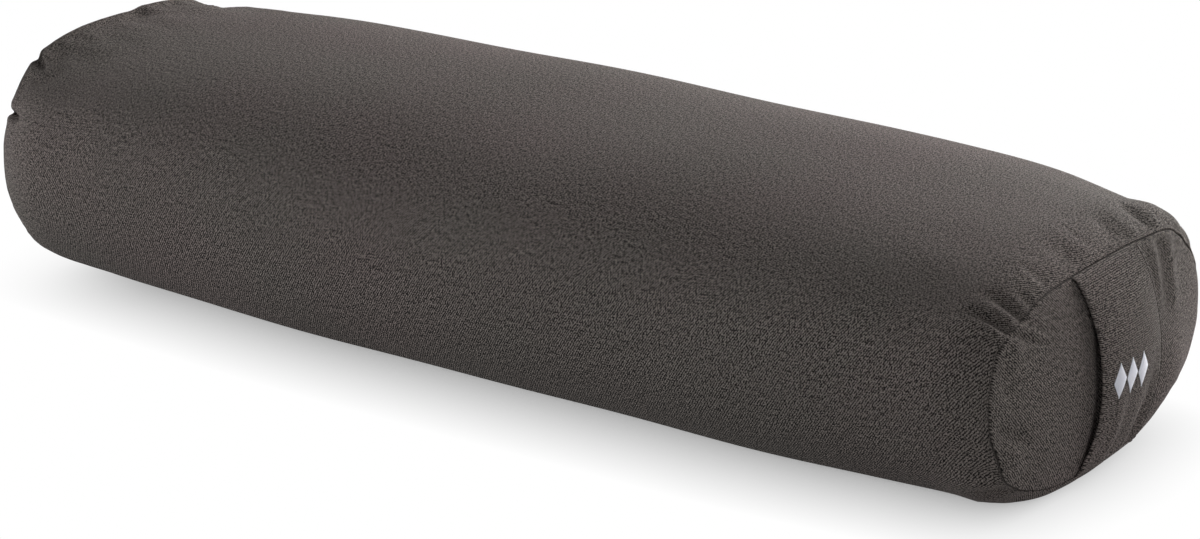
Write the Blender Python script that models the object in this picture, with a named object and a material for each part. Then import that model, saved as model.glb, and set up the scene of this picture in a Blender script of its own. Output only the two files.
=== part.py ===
# A flat yoga bolster lying on its underside: a sewn cotton cover with a carry
# handle and a zip, over a zipped liner, over one loose filling.
# Metres. X runs along the bolster towards the handle end, Y across it, Z up.
# The origin is on the floor, under the middle of the bolster.

import math
from collections import namedtuple

import bmesh
import bpy
from mathutils import Matrix, Vector

# The cover's outside, between its two end seams
SEAM_LENGTH = 0.6742
HALF_WIDTH = 0.1395
WIDTH_LOSS = 0.0234
CROWN_RISE = 0.0626
CROWN_LOSS = 0.0122
WIDEST_HEIGHT = 0.0859
FLOOR_FLATTENING = 0.0050
UPPER_ROUNDNESS = 2.34
LOWER_ROUNDNESS = 2.30
TAPER_POWER = 3.0

# Each end: its seam's outline, how far back the tube rounds in, and its panel's dome
End = namedtuple("End", "side half_width half_height height rounding dome")
HANDLE_END = End(1, 0.1080, 0.0581, 0.0677, 0.0300, 0.0115)
FAR_END = End(-1, 0.1042, 0.0663, 0.0761, 0.0438, 0.0180)
SEAM_ROUNDNESS = 2.49
ROUNDING_TURN = math.radians(66)
DOME_POWER = 2.2

# Cloth, thread and the air between touching pieces
COVER_WALL = 0.0010
LINER_WALL = 0.0006
CLEAR = 0.0003
THREAD = 0.0006
THREAD_DEPTH = 0.0020
SEAM_ALLOWANCE = 0.0060
LINER_SEAM_ROOM = 0.0012

# Gathers that the end seams draw in the tube's corners
PUCKER_HEIGHT = 0.0030
PUCKER_SPREAD = math.radians(26)
PUCKER_CORNERS = (math.radians(38), math.radians(142), math.radians(218), math.radians(322))

# Carry handle
HANDLE_WIDTH = 0.0650
HANDLE_OFFSET = 0.0040
HANDLE_THICKNESS = 0.0030
HANDLE_END_THICKNESS = 0.0015
HANDLE_BOW = 0.0075
HANDLE_EDGE = 0.0010
HANDLE_SEAM_MARGIN = 0.0022

# The long seam's zip, at the back, and its straight flat run
ZIP_ANGLE = math.radians(8)
ZIP_FLAT_HALF_ANGLE = math.radians(10.5)
ZIP_FADE_ANGLE = math.radians(40)
ZIP_SET_IN = 0.0021
CHAIN_LENGTH = 0.3750
COIL_WIDTH = 0.0022
COIL_HEIGHT = 0.0016
STOP_LENGTH = 0.0030
WINDOW_END_MARGIN = 0.0042
WINDOW_SIDE_MARGIN = 0.0018
TAPE_TAIL = 0.0100
TAPE_UNDER_CLOTH = 0.0070
TAPE_THICKNESS = 0.0005
STRAIGHT_MARGIN = 0.0050
POST_THICKNESS = 0.0005
PLATE_THICKNESS = 0.0008
SLIDER_LENGTH = 0.0090
SLIDER_LIP = 0.00115
CROWN_INSET = 0.0009
CROWN_WIDTH = 0.0016
CROWN_BEAM = 0.0009
CROWN_LEG = 0.0010
TAB_BAR = 0.0011
TAB_PLAY = 0.00012
TAB_LENGTH = 0.0240
TAB_SIDE = 0.0016
TAB_SLOT_ROOM = 0.00135
TAB_SLOT_PLAY = 0.0004
TAB_GRIP_HOLE = 0.0028

# Facets: the fine loops halve each step of the coarse ones, but not the zip's flat
COARSE_STEPS = 24
PANEL_RINGS = (0.8, 0.5, 0.25)

# What follows from the sizes above
BELLY_DROP = WIDEST_HEIGHT + FLOOR_FLATTENING
HANDLE_REACH = HANDLE_END.dome + CLEAR + HANDLE_BOW + HANDLE_THICKNESS
OVERALL_LENGTH = SEAM_LENGTH + HANDLE_REACH + FAR_END.dome
SEAM_GAP = THREAD + 2 * CLEAR
LINER_DEPTH = COVER_WALL + CLEAR
FILLING_DEPTH = LINER_DEPTH + LINER_WALL + CLEAR
LINER_SEAM_DEPTH = SEAM_ALLOWANCE + LINER_SEAM_ROOM
SLIDER_ABOVE_TAPE = CLEAR + COIL_HEIGHT + CLEAR + PLATE_THICKNESS
SLIDER_BELOW_TAPE = TAPE_THICKNESS + CLEAR + PLATE_THICKNESS
LINER_ZIP_DEPTH = (
    (COVER_WALL + CLEAR + SLIDER_BELOW_TAPE) + 2 * CLEAR + (SLIDER_ABOVE_TAPE - LINER_WALL - CLEAR)
)
CHAIN_GAP = POST_THICKNESS / 2 + CLEAR
COIL_EDGE = CHAIN_GAP + COIL_WIDTH
SLIDER_HALF_WIDTH = COIL_EDGE + CLEAR + SLIDER_LIP
WINDOW_HALF_WIDTH = SLIDER_HALF_WIDTH + WINDOW_SIDE_MARGIN
WINDOW_HALF_LENGTH = CHAIN_LENGTH / 2 + CLEAR + STOP_LENGTH + WINDOW_END_MARGIN
TAPE_HALF_LENGTH = WINDOW_HALF_LENGTH + TAPE_TAIL
TAPE_HALF_WIDTH = WINDOW_HALF_WIDTH + TAPE_UNDER_CLOTH
STRAIGHT_HALF = TAPE_HALF_LENGTH + STRAIGHT_MARGIN
CROWN_GAP = 2 * (TAB_BAR / math.sqrt(2) + TAB_PLAY)
TAB_SLOT_WIDTH = CROWN_WIDTH + 2 * TAB_SLOT_PLAY
TAB_SLOT_END = math.hypot(CROWN_GAP / 2 + CROWN_LEG, CROWN_GAP / 2 + CROWN_BEAM) + TAB_SLOT_ROOM
FILLING_ZIP_DEPTH = LINER_ZIP_DEPTH + LINER_WALL + CLEAR + SLIDER_BELOW_TAPE + 2 * CLEAR


def clear_scene():
    for old in list(bpy.data.objects):
        bpy.data.objects.remove(old)


def make_material(name, colour, roughness, metallic=0.0):
    finish = bpy.data.materials.new(name)
    finish.use_nodes = True
    shader = finish.node_tree.nodes["Principled BSDF"]
    shader.inputs["Base Color"].default_value = (*colour, 1)
    shader.inputs["Roughness"].default_value = roughness
    shader.inputs["Metallic"].default_value = metallic
    finish.diffuse_color = (*colour, 1)
    return finish


def add_object(name, bm, finish, smooth=True):
    bmesh.ops.recalc_face_normals(bm, faces=bm.faces)
    mesh = bpy.data.meshes.new(name)
    bm.to_mesh(mesh)
    bm.free()
    if smooth:
        mesh.shade_smooth()
        mesh.set_sharp_from_angle(angle=math.radians(40))
    mesh.materials.append(finish)
    piece = bpy.data.objects.new(name, mesh)
    bpy.context.scene.collection.objects.link(piece)
    return piece


def smoothstep(value):
    value = min(max(value, 0.0), 1.0)
    return value * value * (3 - 2 * value)


def power(value, exponent):
    return math.copysign(abs(value) ** exponent, value)


def lies_on_zip(angle):
    return abs(math.remainder(angle - ZIP_ANGLE, math.tau))


def seam_x(end):
    return OVERALL_LENGTH / 2 - HANDLE_REACH if end.side > 0 else FAR_END.dome - OVERALL_LENGTH / 2


BODY_START = seam_x(FAR_END) + FAR_END.rounding
BODY_END = seam_x(HANDLE_END) - HANDLE_END.rounding
BODY_MIDDLE = (seam_x(FAR_END) + seam_x(HANDLE_END)) / 2


# A cross-section's point (y, z), cut flat where it meets the floor
def section_point(angle, half_width, rise, drop, upper, lower, height):
    roundness = upper if math.sin(angle) > 0 else lower
    y = half_width * power(math.cos(angle), 2 / roundness)
    z = height + (rise if math.sin(angle) > 0 else drop) * power(math.sin(angle), 2 / roundness)
    return y, max(z, 0.0)


# The tube's outside. Along it, -2 to -1 is the far rounding, -1 to 1 the body
# and 1 to 2 the rounding at the handle end.
def tube_point(along, angle):
    end = HANDLE_END if along > 0 else FAR_END
    turn = max(abs(along) - 1, 0.0) * ROUNDING_TURN
    if turn:
        start = BODY_END if along > 0 else BODY_START
        x = start + end.side * end.rounding * math.sin(turn) / math.sin(ROUNDING_TURN)
    else:
        x = BODY_START + (BODY_END - BODY_START) * (along + 1) / 2
    full = 1 - (1 - math.cos(turn)) / (1 - math.cos(ROUNDING_TURN))
    taper = abs((x - BODY_MIDDLE) / (SEAM_LENGTH / 2)) ** TAPER_POWER

    def blend(at_seam, in_body):
        return at_seam + (in_body - at_seam) * full

    y, z = section_point(
        angle,
        blend(end.half_width, HALF_WIDTH - WIDTH_LOSS * taper),
        blend(end.half_height, CROWN_RISE - CROWN_LOSS * taper),
        blend(end.half_height, BELLY_DROP),
        blend(SEAM_ROUNDNESS, UPPER_ROUNDNESS),
        blend(SEAM_ROUNDNESS, LOWER_ROUNDNESS),
        blend(end.height, WIDEST_HEIGHT),
    )
    reach = (BODY_END if x > 0 else -BODY_START) - STRAIGHT_HALF
    held = 1 - smoothstep((abs(x) - STRAIGHT_HALF) / reach)
    held *= 1 - smoothstep((lies_on_zip(angle) - ZIP_FLAT_HALF_ANGLE) / ZIP_FADE_ANGLE)
    if held:
        straight_y, straight_z = section_point(
            angle, HALF_WIDTH - ZIP_SET_IN, CROWN_RISE, BELLY_DROP,
            UPPER_ROUNDNESS, LOWER_ROUNDNESS, WIDEST_HEIGHT,
        )
        y += (straight_y - y) * held
        z += (straight_z - z) * held
    return Vector((x, y, z))


# An end panel's outside: share runs from 0 at its middle to 1 at its seam
def panel_point(end, share, angle):
    y, z = section_point(
        angle, end.half_width * share, end.half_height * share, end.half_height * share,
        SEAM_ROUNDNESS, SEAM_ROUNDNESS, end.height,
    )
    return Vector((seam_x(end) + end.side * end.dome * (1 - share**DOME_POWER), y, z))


# A stop on a loop is two angles and the share of the way between them, so that
# the zip's flat stays flat.
def loop_stops(fine):
    low = ZIP_ANGLE - ZIP_FLAT_HALF_ANGLE
    high = ZIP_ANGLE + ZIP_FLAT_HALF_ANGLE
    steps = COARSE_STEPS * (2 if fine else 1)
    step = (math.tau - 2 * ZIP_FLAT_HALF_ANGLE) / steps
    stops = [(high + step * i,) * 2 + (0.0,) for i in range(steps + 1)]
    stops += [(low, high, share) for share in (0.5 - window_share(), 0.5 + window_share())]
    return stops


def window_share():
    return WINDOW_HALF_WIDTH / zip_flat_size()


def zip_flat_size():
    low = tube_point(0, ZIP_ANGLE - ZIP_FLAT_HALF_ANGLE)
    high = tube_point(0, ZIP_ANGLE + ZIP_FLAT_HALF_ANGLE)
    return (high - low).length


def at_stop(surface, stop):
    return surface(stop[0]).lerp(surface(stop[1]), stop[2])


def on_flat(stop):
    return lies_on_zip(stop[0]) <= ZIP_FLAT_HALF_ANGLE + 1e-6


# The direction round the loop at a stop: across the whole flat where it lies on it
def round_direction(surface, stop):
    if on_flat(stop):
        low, high = ZIP_ANGLE - ZIP_FLAT_HALF_ANGLE, ZIP_ANGLE + ZIP_FLAT_HALF_ANGLE
    else:
        low, high = stop[0] - 1e-3, stop[0] + 1e-3
    return (surface(high) - surface(low)).normalized()


def tube_outward(along, stop):
    low, high = max(along - 1e-3, -2.0), min(along + 1e-3, 2.0)
    lengthways = at_stop(lambda a: tube_point(high, a), stop) - at_stop(lambda a: tube_point(low, a), stop)
    return round_direction(lambda a: tube_point(along, a), stop).cross(lengthways).normalized()


def panel_outward(end, share, stop):
    inner, outer = share - 1e-3, min(share + 1e-3, 1.0)
    outwards = at_stop(lambda a: panel_point(end, outer, a), stop) - at_stop(
        lambda a: panel_point(end, inner, a), stop
    )
    return outwards.cross(round_direction(lambda a: panel_point(end, share, a), stop)).normalized() * end.side


# At an end seam: its point, the way from tube to panel, and the way in between them
def seam_frame(end, stop):
    point = at_stop(lambda a: panel_point(end, 1, a), stop)
    tube_way = point - at_stop(lambda a: tube_point(end.side * (2 - 1e-3), a), stop)
    panel_way = at_stop(lambda a: panel_point(end, 1 - 1e-3, a), stop) - point
    across = (tube_way.normalized() + panel_way.normalized()).normalized()
    along = round_direction(lambda a: panel_point(end, 1, a), stop)
    return point, across, across.cross(along).normalized() * end.side


def seam_loop(end, stops, across, inward):
    loop = []
    for stop in stops:
        point, across_way, inward_way = seam_frame(end, stop)
        loop.append(point + across_way * across + inward_way * inward)
    return loop


def along_of(x):
    return 2 * (x - BODY_START) / (BODY_END - BODY_START) - 1


# Gathers stand proud of the tube near its end seams, so the wall never thins
def pucker(along, angle):
    near_seam = smoothstep(1 - abs(abs(along) - 1.55) / 0.6)
    corner = max(smoothstep(1 - abs(angle - c) / PUCKER_SPREAD) for c in PUCKER_CORNERS)
    pitch = (math.tau - 2 * ZIP_FLAT_HALF_ANGLE) / COARSE_STEPS
    wave = 0.5 + 0.5 * math.cos(math.tau * (angle - ZIP_ANGLE - ZIP_FLAT_HALF_ANGLE) / pitch)
    return PUCKER_HEIGHT * near_seam * corner * wave


def tube_loop(along, stops, depth, zip_depth=None, puckered=False):
    x = tube_point(along, 0).x
    loop = []
    for stop in stops:
        inset = depth
        if zip_depth is not None and on_flat(stop) and abs(x) <= STRAIGHT_HALF + 1e-6:
            inset = zip_depth
        if puckered:
            inset -= pucker(along, stop[0])
        point = at_stop(lambda a: tube_point(along, a), stop)
        loop.append(point - tube_outward(along, stop) * inset)
        if puckered:
            loop[-1].z = max(loop[-1].z, 0.0)
    return loop


def panel_loop(end, share, stops, depth):
    return [
        at_stop(lambda a: panel_point(end, share, a), stop) - panel_outward(end, share, stop) * depth
        for stop in stops
    ]


def panel_middle(end, depth):
    return Vector((seam_x(end) + end.side * (end.dome - depth), 0, end.height))


# Places along the tube at which its loops lie, from the far end to the handle end
def tube_stations(turns, middle):
    runs = [STRAIGHT_HALF, WINDOW_HALF_LENGTH] + middle
    body = [along_of(-x) for x in runs] + [along_of(0)] + [along_of(x) for x in reversed(runs)]
    return [-1 - t for t in turns] + [-1] + body + [1] + [1 + t for t in reversed(turns)]


def add_loop(bm, points):
    return [bm.verts.new(point) for point in points]


def fine_index(coarse):
    return 2 * coarse if coarse <= COARSE_STEPS else coarse + COARSE_STEPS


# Faces between two loops, of like count or one fine and one coarse, but for one segment
def join_loops(bm, first, second, left_out=None):
    if len(first) == len(second):
        for i in range(len(first)):
            if i != left_out:
                j = (i + 1) % len(first)
                bm.faces.new((first[i], first[j], second[j], second[i]))
        return
    fine, coarse = (first, second) if len(first) > len(second) else (second, first)
    for i in range(len(coarse)):
        start, stop = fine_index(i), fine_index(i + 1) if i + 1 < len(coarse) else len(fine)
        chain = [fine[k % len(fine)] for k in range(start, stop + 1)]
        bm.faces.new(chain + [coarse[(i + 1) % len(coarse)], coarse[i]])


def close_middle(bm, loop, point):
    tip = bm.verts.new(point)
    for i in range(len(loop)):
        bm.faces.new((loop[i], loop[(i + 1) % len(loop)], tip))


# A cloth tube with turned or cut ends and a window in the zip's flat
def tube_shell(name, outer, inner, outer_window, inner_window, finish):
    bm = bmesh.new()
    skins = []
    for loops, window in ((outer, outer_window), (inner, inner_window)):
        verts = [add_loop(bm, loop) for loop in loops]
        for i in range(len(verts) - 1):
            opened = window[0] <= i < window[1]
            join_loops(bm, verts[i], verts[i + 1], len(verts[i]) - 2 if opened else None)
        skins.append((verts, window))
    (outside, out_span), (inside, in_span) = skins
    join_loops(bm, outside[0], inside[0])
    join_loops(bm, outside[-1], inside[-1])
    for edge in (-2, -1):
        face = [loop[edge] for loop in outside[out_span[0] : out_span[1] + 1]]
        face += [loop[edge] for loop in reversed(inside[in_span[0] : in_span[1] + 1])]
        bm.faces.new(face)
    for out_i, in_i in zip(out_span, in_span):
        bm.faces.new((outside[out_i][-2], outside[out_i][-1], inside[in_i][-1], inside[in_i][-2]))
    return add_object(name, bm, finish)


# A domed cloth end: loops run from its edge to its middle on each side
def panel_shell(name, outer, inner, outer_tip, inner_tip, finish):
    bm = bmesh.new()
    edges = []
    for loops, tip in ((outer, outer_tip), (inner, inner_tip)):
        verts = [add_loop(bm, loop) for loop in loops]
        for first, second in zip(verts, verts[1:]):
            join_loops(bm, first, second)
        close_middle(bm, verts[-1], tip)
        edges.append(verts[0])
    join_loops(bm, *edges)
    return add_object(name, bm, finish)


def window_span(stations):
    positions = [round(s, 6) for s in stations]
    return (
        positions.index(round(along_of(-WINDOW_HALF_LENGTH), 6)),
        positions.index(round(along_of(WINDOW_HALF_LENGTH), 6)),
    )


def build_cover(finish):
    fine, coarse = loop_stops(True), loop_stops(False)
    rim = SEAM_GAP / 2
    outer_stations = tube_stations([2 / 3, 1 / 3], [0.12])
    inner_stations = tube_stations([1 / 2], [])
    outer = [tube_loop(s, fine, 0, puckered=True) for s in outer_stations]
    inner = [tube_loop(s, coarse, COVER_WALL) for s in inner_stations]
    ends = {
        end: (
            seam_loop(end, fine, -rim, 0),
            seam_loop(end, fine, -rim, SEAM_ALLOWANCE),
            seam_loop(end, coarse, -rim - COVER_WALL, COVER_WALL),
            seam_loop(end, coarse, -rim - COVER_WALL, SEAM_ALLOWANCE),
        )
        for end in (FAR_END, HANDLE_END)
    }
    outer = [ends[FAR_END][1], ends[FAR_END][0]] + outer + [ends[HANDLE_END][0], ends[HANDLE_END][1]]
    inner = [ends[FAR_END][3], ends[FAR_END][2]] + inner + [ends[HANDLE_END][2], ends[HANDLE_END][3]]
    out_span = [i + 2 for i in window_span(outer_stations)]
    in_span = [i + 2 for i in window_span(inner_stations)]
    tube_shell("cover_body", outer, inner, out_span, in_span, finish)
    for name, end in (("cover_handle_end", HANDLE_END), ("cover_far_end", FAR_END)):
        outer = [seam_loop(end, fine, rim, SEAM_ALLOWANCE), seam_loop(end, fine, rim, 0)]
        outer.append(panel_loop(end, PANEL_RINGS[0], fine, 0))
        outer += [panel_loop(end, share, coarse, 0) for share in PANEL_RINGS[1:]]
        inner = [
            seam_loop(end, coarse, rim + COVER_WALL, SEAM_ALLOWANCE),
            seam_loop(end, coarse, rim + COVER_WALL, COVER_WALL),
        ]
        inner += [panel_loop(end, share, coarse, COVER_WALL) for share in PANEL_RINGS]
        panel_shell(name, outer, inner, panel_middle(end, 0), panel_middle(end, COVER_WALL), finish)


def build_liner(finish):
    stops = loop_stops(False)
    stations = tube_stations([1 / 2], [])
    rim = SEAM_GAP / 2
    skins = []
    for wall in (0, LINER_WALL):
        body = [tube_loop(s, stops, LINER_DEPTH + wall, LINER_ZIP_DEPTH + wall) for s in stations]
        far = seam_loop(FAR_END, stops, -rim, LINER_SEAM_DEPTH + wall)
        near = seam_loop(HANDLE_END, stops, -rim, LINER_SEAM_DEPTH + wall)
        skins.append([far] + body + [near])
    span = [i + 1 for i in window_span(stations)]
    tube_shell("liner_body", skins[0], skins[1], span, span, finish)
    for name, end in (("liner_handle_end", HANDLE_END), ("liner_far_end", FAR_END)):
        sides = []
        for wall in (0, LINER_WALL):
            edge = seam_loop(end, stops, rim, LINER_SEAM_DEPTH + wall)
            rings = [panel_loop(end, share, stops, LINER_DEPTH + wall) for share in PANEL_RINGS]
            sides.append([edge] + rings)
        tips = panel_middle(end, LINER_DEPTH), panel_middle(end, LINER_DEPTH + LINER_WALL)
        panel_shell(name, sides[0], sides[1], *tips, finish)


def build_filling(finish):
    stops = loop_stops(False)
    seam_depth = LINER_SEAM_DEPTH + LINER_WALL + THREAD
    loops = [panel_loop(FAR_END, share, stops, FILLING_DEPTH) for share in reversed(PANEL_RINGS)]
    loops.append(seam_loop(FAR_END, stops, 0, seam_depth))
    for station in tube_stations([1 / 2], []):
        loops.append(tube_loop(station, stops, FILLING_DEPTH, FILLING_ZIP_DEPTH))
    loops.append(seam_loop(HANDLE_END, stops, 0, seam_depth))
    loops += [panel_loop(HANDLE_END, share, stops, FILLING_DEPTH) for share in PANEL_RINGS]
    bm = bmesh.new()
    verts = [add_loop(bm, loop) for loop in loops]
    for first, second in zip(verts, verts[1:]):
        join_loops(bm, first, second)
    close_middle(bm, verts[0], panel_middle(FAR_END, FILLING_DEPTH))
    close_middle(bm, verts[-1], panel_middle(HANDLE_END, FILLING_DEPTH))
    add_object("filling", bm, finish)


# The line of sewing that joins a panel to the tube, between their turned edges
def build_seam_thread(name, end, depth, fine, finish):
    bm = bmesh.new()
    half = THREAD / 2
    stops = loop_stops(fine)
    sides = [
        add_loop(bm, seam_loop(end, stops, across, depth + inward))
        for across, inward in ((-half, -half), (half, -half), (half, half), (-half, half))
    ]
    for first, second in zip(sides, sides[1:] + sides[:1]):
        join_loops(bm, first, second)
    add_object(name, bm, finish)


# The handle's inner face stands off the panel by the clearance at its ends, and by
# the bow as well in the middle
def build_handle(finish):
    end = HANDLE_END
    steps = 22
    half_run = end.half_height - HANDLE_SEAM_MARGIN
    half_width = HANDLE_WIDTH / 2
    bm = bmesh.new()
    rings = []
    for i in range(steps + 1):
        z = end.height + half_run * math.cos(math.pi * i / steps)
        share = abs(z - end.height) / end.half_height
        arch = math.sin(math.pi * i / steps)
        inner = seam_x(end) + end.dome * (1 - share**DOME_POWER) + CLEAR + HANDLE_BOW * arch**2
        thickness = HANDLE_END_THICKNESS + (HANDLE_THICKNESS - HANDLE_END_THICKNESS) * smoothstep(3 * arch)
        edge = min(HANDLE_EDGE, thickness / 3)
        outline = (
            (-half_width, edge), (-half_width + edge, 0), (half_width - edge, 0), (half_width, edge),
            (half_width, thickness - edge), (half_width - edge, thickness),
            (-half_width + edge, thickness), (-half_width, thickness - edge),
        )
        rings.append(add_loop(bm, [(inner + t, HANDLE_OFFSET + y, z) for y, t in outline]))
    for first, second in zip(rings, rings[1:]):
        join_loops(bm, first, second)
    bm.faces.new(rings[0])
    bm.faces.new(rings[-1])
    add_object("carry_handle", bm, finish)


# The middle of the zip's flat, and its turn about X: local Y runs down the flat and
# local Z out of it
def zip_frame(depth):
    low = tube_point(0, ZIP_ANGLE - ZIP_FLAT_HALF_ANGLE)
    high = tube_point(0, ZIP_ANGLE + ZIP_FLAT_HALF_ANGLE)
    down = (low - high).normalized()
    outward = Vector((1, 0, 0)).cross(down)
    middle = (low + high) / 2 - outward * depth
    middle.x = 0
    turn = Matrix(((1, 0, 0), down, outward)).transposed().to_4x4()
    return Matrix.Translation(middle) @ turn


def place(piece, parent, x, z=0.0):
    piece.parent = parent
    piece.location = (x, 0, z)
    return piece


# A prism along X from an outline of (y, z) points
def prism(name, outline, start, stop, finish, smooth=False):
    bm = bmesh.new()
    rings = [add_loop(bm, [(x, y, z) for y, z in outline]) for x in (start, stop)]
    join_loops(bm, *rings)
    for ring in rings:
        bm.faces.new(ring)
    return add_object(name, bm, finish, smooth)


def box(name, low, high, finish):
    outline = ((low[1], low[2]), (high[1], low[2]), (high[1], high[2]), (low[1], high[2]))
    return prism(name, outline, low[0], high[0], finish)


def as_helper(piece):
    piece.hide_render = True
    piece.display_type = "WIRE"
    return piece


def add_boolean(piece, operation, helper):
    modifier = piece.modifiers.new(operation.title(), "BOOLEAN")
    modifier.operation = operation
    modifier.object = as_helper(helper)
    helper.parent = piece


# The wall is the cloth that the tapes are sewn under. The slider closes towards side.
def build_zip(prefix, depth, wall, side, with_tab, tape_finish, coil_finish, metal):
    frame = bpy.data.objects.new(prefix + "_frame", None)
    frame.matrix_world = zip_frame(depth)
    bpy.context.scene.collection.objects.link(frame)
    tape_top = -(wall + CLEAR)
    tape_bottom = tape_top - TAPE_THICKNESS
    seat = tape_top + CLEAR
    coil_top = seat + COIL_HEIGHT
    chain_end = CHAIN_LENGTH / 2
    for name, way in (("upper", -1), ("lower", 1)):
        tape = box(
            f"{prefix}_tape_{name}",
            (-TAPE_HALF_LENGTH, min(way * CHAIN_GAP, way * TAPE_HALF_WIDTH), tape_bottom),
            (TAPE_HALF_LENGTH, max(way * CHAIN_GAP, way * TAPE_HALF_WIDTH), tape_top),
            tape_finish,
        )
        place(tape, frame, 0)
        coil_outline = [
            (way * (CHAIN_GAP + COIL_WIDTH * across), seat + COIL_HEIGHT * up)
            for across, up in ((0, 0), (1, 0), (1, 0.5), (0.8, 0.88), (0.5, 1), (0.2, 0.88), (0, 0.5))
        ]
        coil = prism(
            f"{prefix}_coil_{name}", coil_outline, -chain_end, chain_end, coil_finish
        )
        place(coil, frame, 0)
        stop_start = side * (chain_end + CLEAR)
        stop_end = side * (chain_end + CLEAR + STOP_LENGTH)
        top_stop = box(
            f"{prefix}_top_stop_{name}",
            (min(stop_start, stop_end), min(way * CHAIN_GAP, way * COIL_EDGE), seat),
            (max(stop_start, stop_end), max(way * CHAIN_GAP, way * COIL_EDGE), coil_top),
            metal,
        )
        place(top_stop, frame, 0)
    bottom_stop = box(
        f"{prefix}_bottom_stop",
        (min(-stop_start, -stop_end), -COIL_EDGE, seat),
        (max(-stop_start, -stop_end), COIL_EDGE, coil_top),
        metal,
    )
    place(bottom_stop, frame, 0)

    plate_low = coil_top + CLEAR
    plate_top = plate_low + PLATE_THICKNESS
    under_top = tape_bottom - CLEAR
    under_low = under_top - PLATE_THICKNESS
    half = SLIDER_HALF_WIDTH
    lip = COIL_EDGE + CLEAR
    post = POST_THICKNESS / 2
    right = [
        (half, plate_top), (half, seat), (lip, seat), (lip, plate_low), (post, plate_low),
        (post, under_top), (lip, under_top), (lip, under_low),
    ]
    outline = right + [(-y, z) for y, z in reversed(right)]
    slider = prism(prefix + "_slider", outline, -SLIDER_LENGTH / 2, SLIDER_LENGTH / 2, metal)
    slider_x = side * (chain_end - SLIDER_LENGTH / 2)
    place(slider, frame, slider_x)
    if not with_tab:
        return
    crown_low = plate_top - PLATE_THICKNESS / 2
    crown_end = SLIDER_LENGTH / 2 - CROWN_INSET
    beam_low = plate_top + CROWN_GAP
    crown = box(
        "crown_block",
        (-crown_end, -CROWN_WIDTH / 2, crown_low),
        (crown_end, CROWN_WIDTH / 2, beam_low + CROWN_BEAM),
        metal,
    )
    opening = box(
        "crown_opening",
        (-crown_end + CROWN_LEG, -CROWN_WIDTH, plate_top),
        (crown_end - CROWN_LEG, CROWN_WIDTH, beam_low),
        metal,
    )
    add_boolean(slider, "UNION", crown)
    add_boolean(slider, "DIFFERENCE", opening)

    bar_z = plate_top + CROWN_GAP / 2
    bar_x = slider_x - side * (crown_end - CROWN_LEG - CROWN_GAP / 2)
    half_bar = TAB_BAR / 2
    half_tab = TAB_SLOT_WIDTH / 2 + TAB_SIDE
    tab = box(
        prefix + "_pull_tab",
        (half_bar - TAB_LENGTH, -half_tab, -half_bar),
        (half_bar, half_tab, half_bar),
        metal,
    )
    slot = box(
        "tab_slot",
        (-TAB_SLOT_END, -TAB_SLOT_WIDTH / 2, -TAB_BAR),
        (-half_bar, TAB_SLOT_WIDTH / 2, TAB_BAR),
        metal,
    )
    grip_hole = box(
        "tab_grip_hole",
        (half_bar - TAB_LENGTH + TAB_GRIP_HOLE, -TAB_GRIP_HOLE / 2, -TAB_BAR),
        (half_bar - TAB_LENGTH + 3 * TAB_GRIP_HOLE, TAB_GRIP_HOLE / 2, TAB_BAR),
        metal,
    )
    corners = tab.modifiers.new("Corners", "BEVEL")
    corners.width = half_tab * 2 / 3
    corners.segments = 3
    corners.limit_method = "WEIGHT"
    weights = tab.data.attributes.new("bevel_weight_edge", "FLOAT", "EDGE")
    for edge in tab.data.edges:
        first, second = (tab.data.vertices[i].co for i in edge.vertices)
        at_grip = max(first.x, second.x) < 0
        weights.data[edge.index].value = float(at_grip and abs(first.z - second.z) > half_bar)
    add_boolean(tab, "DIFFERENCE", slot)
    add_boolean(tab, "DIFFERENCE", grip_hole)
    place(tab, frame, bar_x, bar_z)
    hinge = zip_frame(depth) @ Vector((bar_x, 0, bar_z))
    print("tab hinge at", [round(v, 6) for v in hinge], "axis", [round(v, 6) for v in zip_frame(depth).col[1][:3]])


def print_sizes():
    middle_z = HANDLE_END.height
    gap_start = seam_x(HANDLE_END) + HANDLE_END.dome
    print("overall length", round(OVERALL_LENGTH, 5), "seams at", seam_x(FAR_END), seam_x(HANDLE_END))
    print("handle gap from x", round(gap_start, 5), "to", round(gap_start + CLEAR + HANDLE_BOW, 5), "z", middle_z)
    print("slider travel", round(CHAIN_LENGTH - SLIDER_LENGTH, 5))


def main():
    clear_scene()
    twill = make_material("cover_twill", (0.080, 0.068, 0.063), 0.92)
    webbing = make_material("handle_twill", (0.080, 0.068, 0.063), 0.92)
    lining = make_material("liner_cotton", (0.78, 0.74, 0.66), 0.9)
    wadding = make_material("filling_cotton", (0.84, 0.81, 0.74), 1.0)
    thread = make_material("sewing_thread", (0.060, 0.052, 0.048), 0.8)
    tape = make_material("zip_tape", (0.055, 0.048, 0.045), 0.85)
    coil = make_material("zip_coil", (0.050, 0.045, 0.042), 0.4)
    metal = make_material("zip_metal", (0.16, 0.15, 0.145), 0.35, 1.0)
    build_cover(twill)
    build_handle(webbing)
    for name, end in (("handle_end", HANDLE_END), ("far_end", FAR_END)):
        build_seam_thread(f"cover_{name}_thread", end, THREAD_DEPTH, True, thread)
        build_seam_thread(f"liner_{name}_thread", end, LINER_SEAM_DEPTH + THREAD / 2, False, lining)
    build_zip("cover_zip", 0, COVER_WALL, 1, True, tape, coil, metal)
    build_liner(lining)
    build_zip("liner_zip", LINER_ZIP_DEPTH, LINER_WALL, -1, False, lining, lining, metal)
    build_filling(wadding)
    print_sizes()


main()
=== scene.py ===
import math

import bmesh
import bpy
import numpy as np
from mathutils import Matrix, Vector, noise


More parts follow.
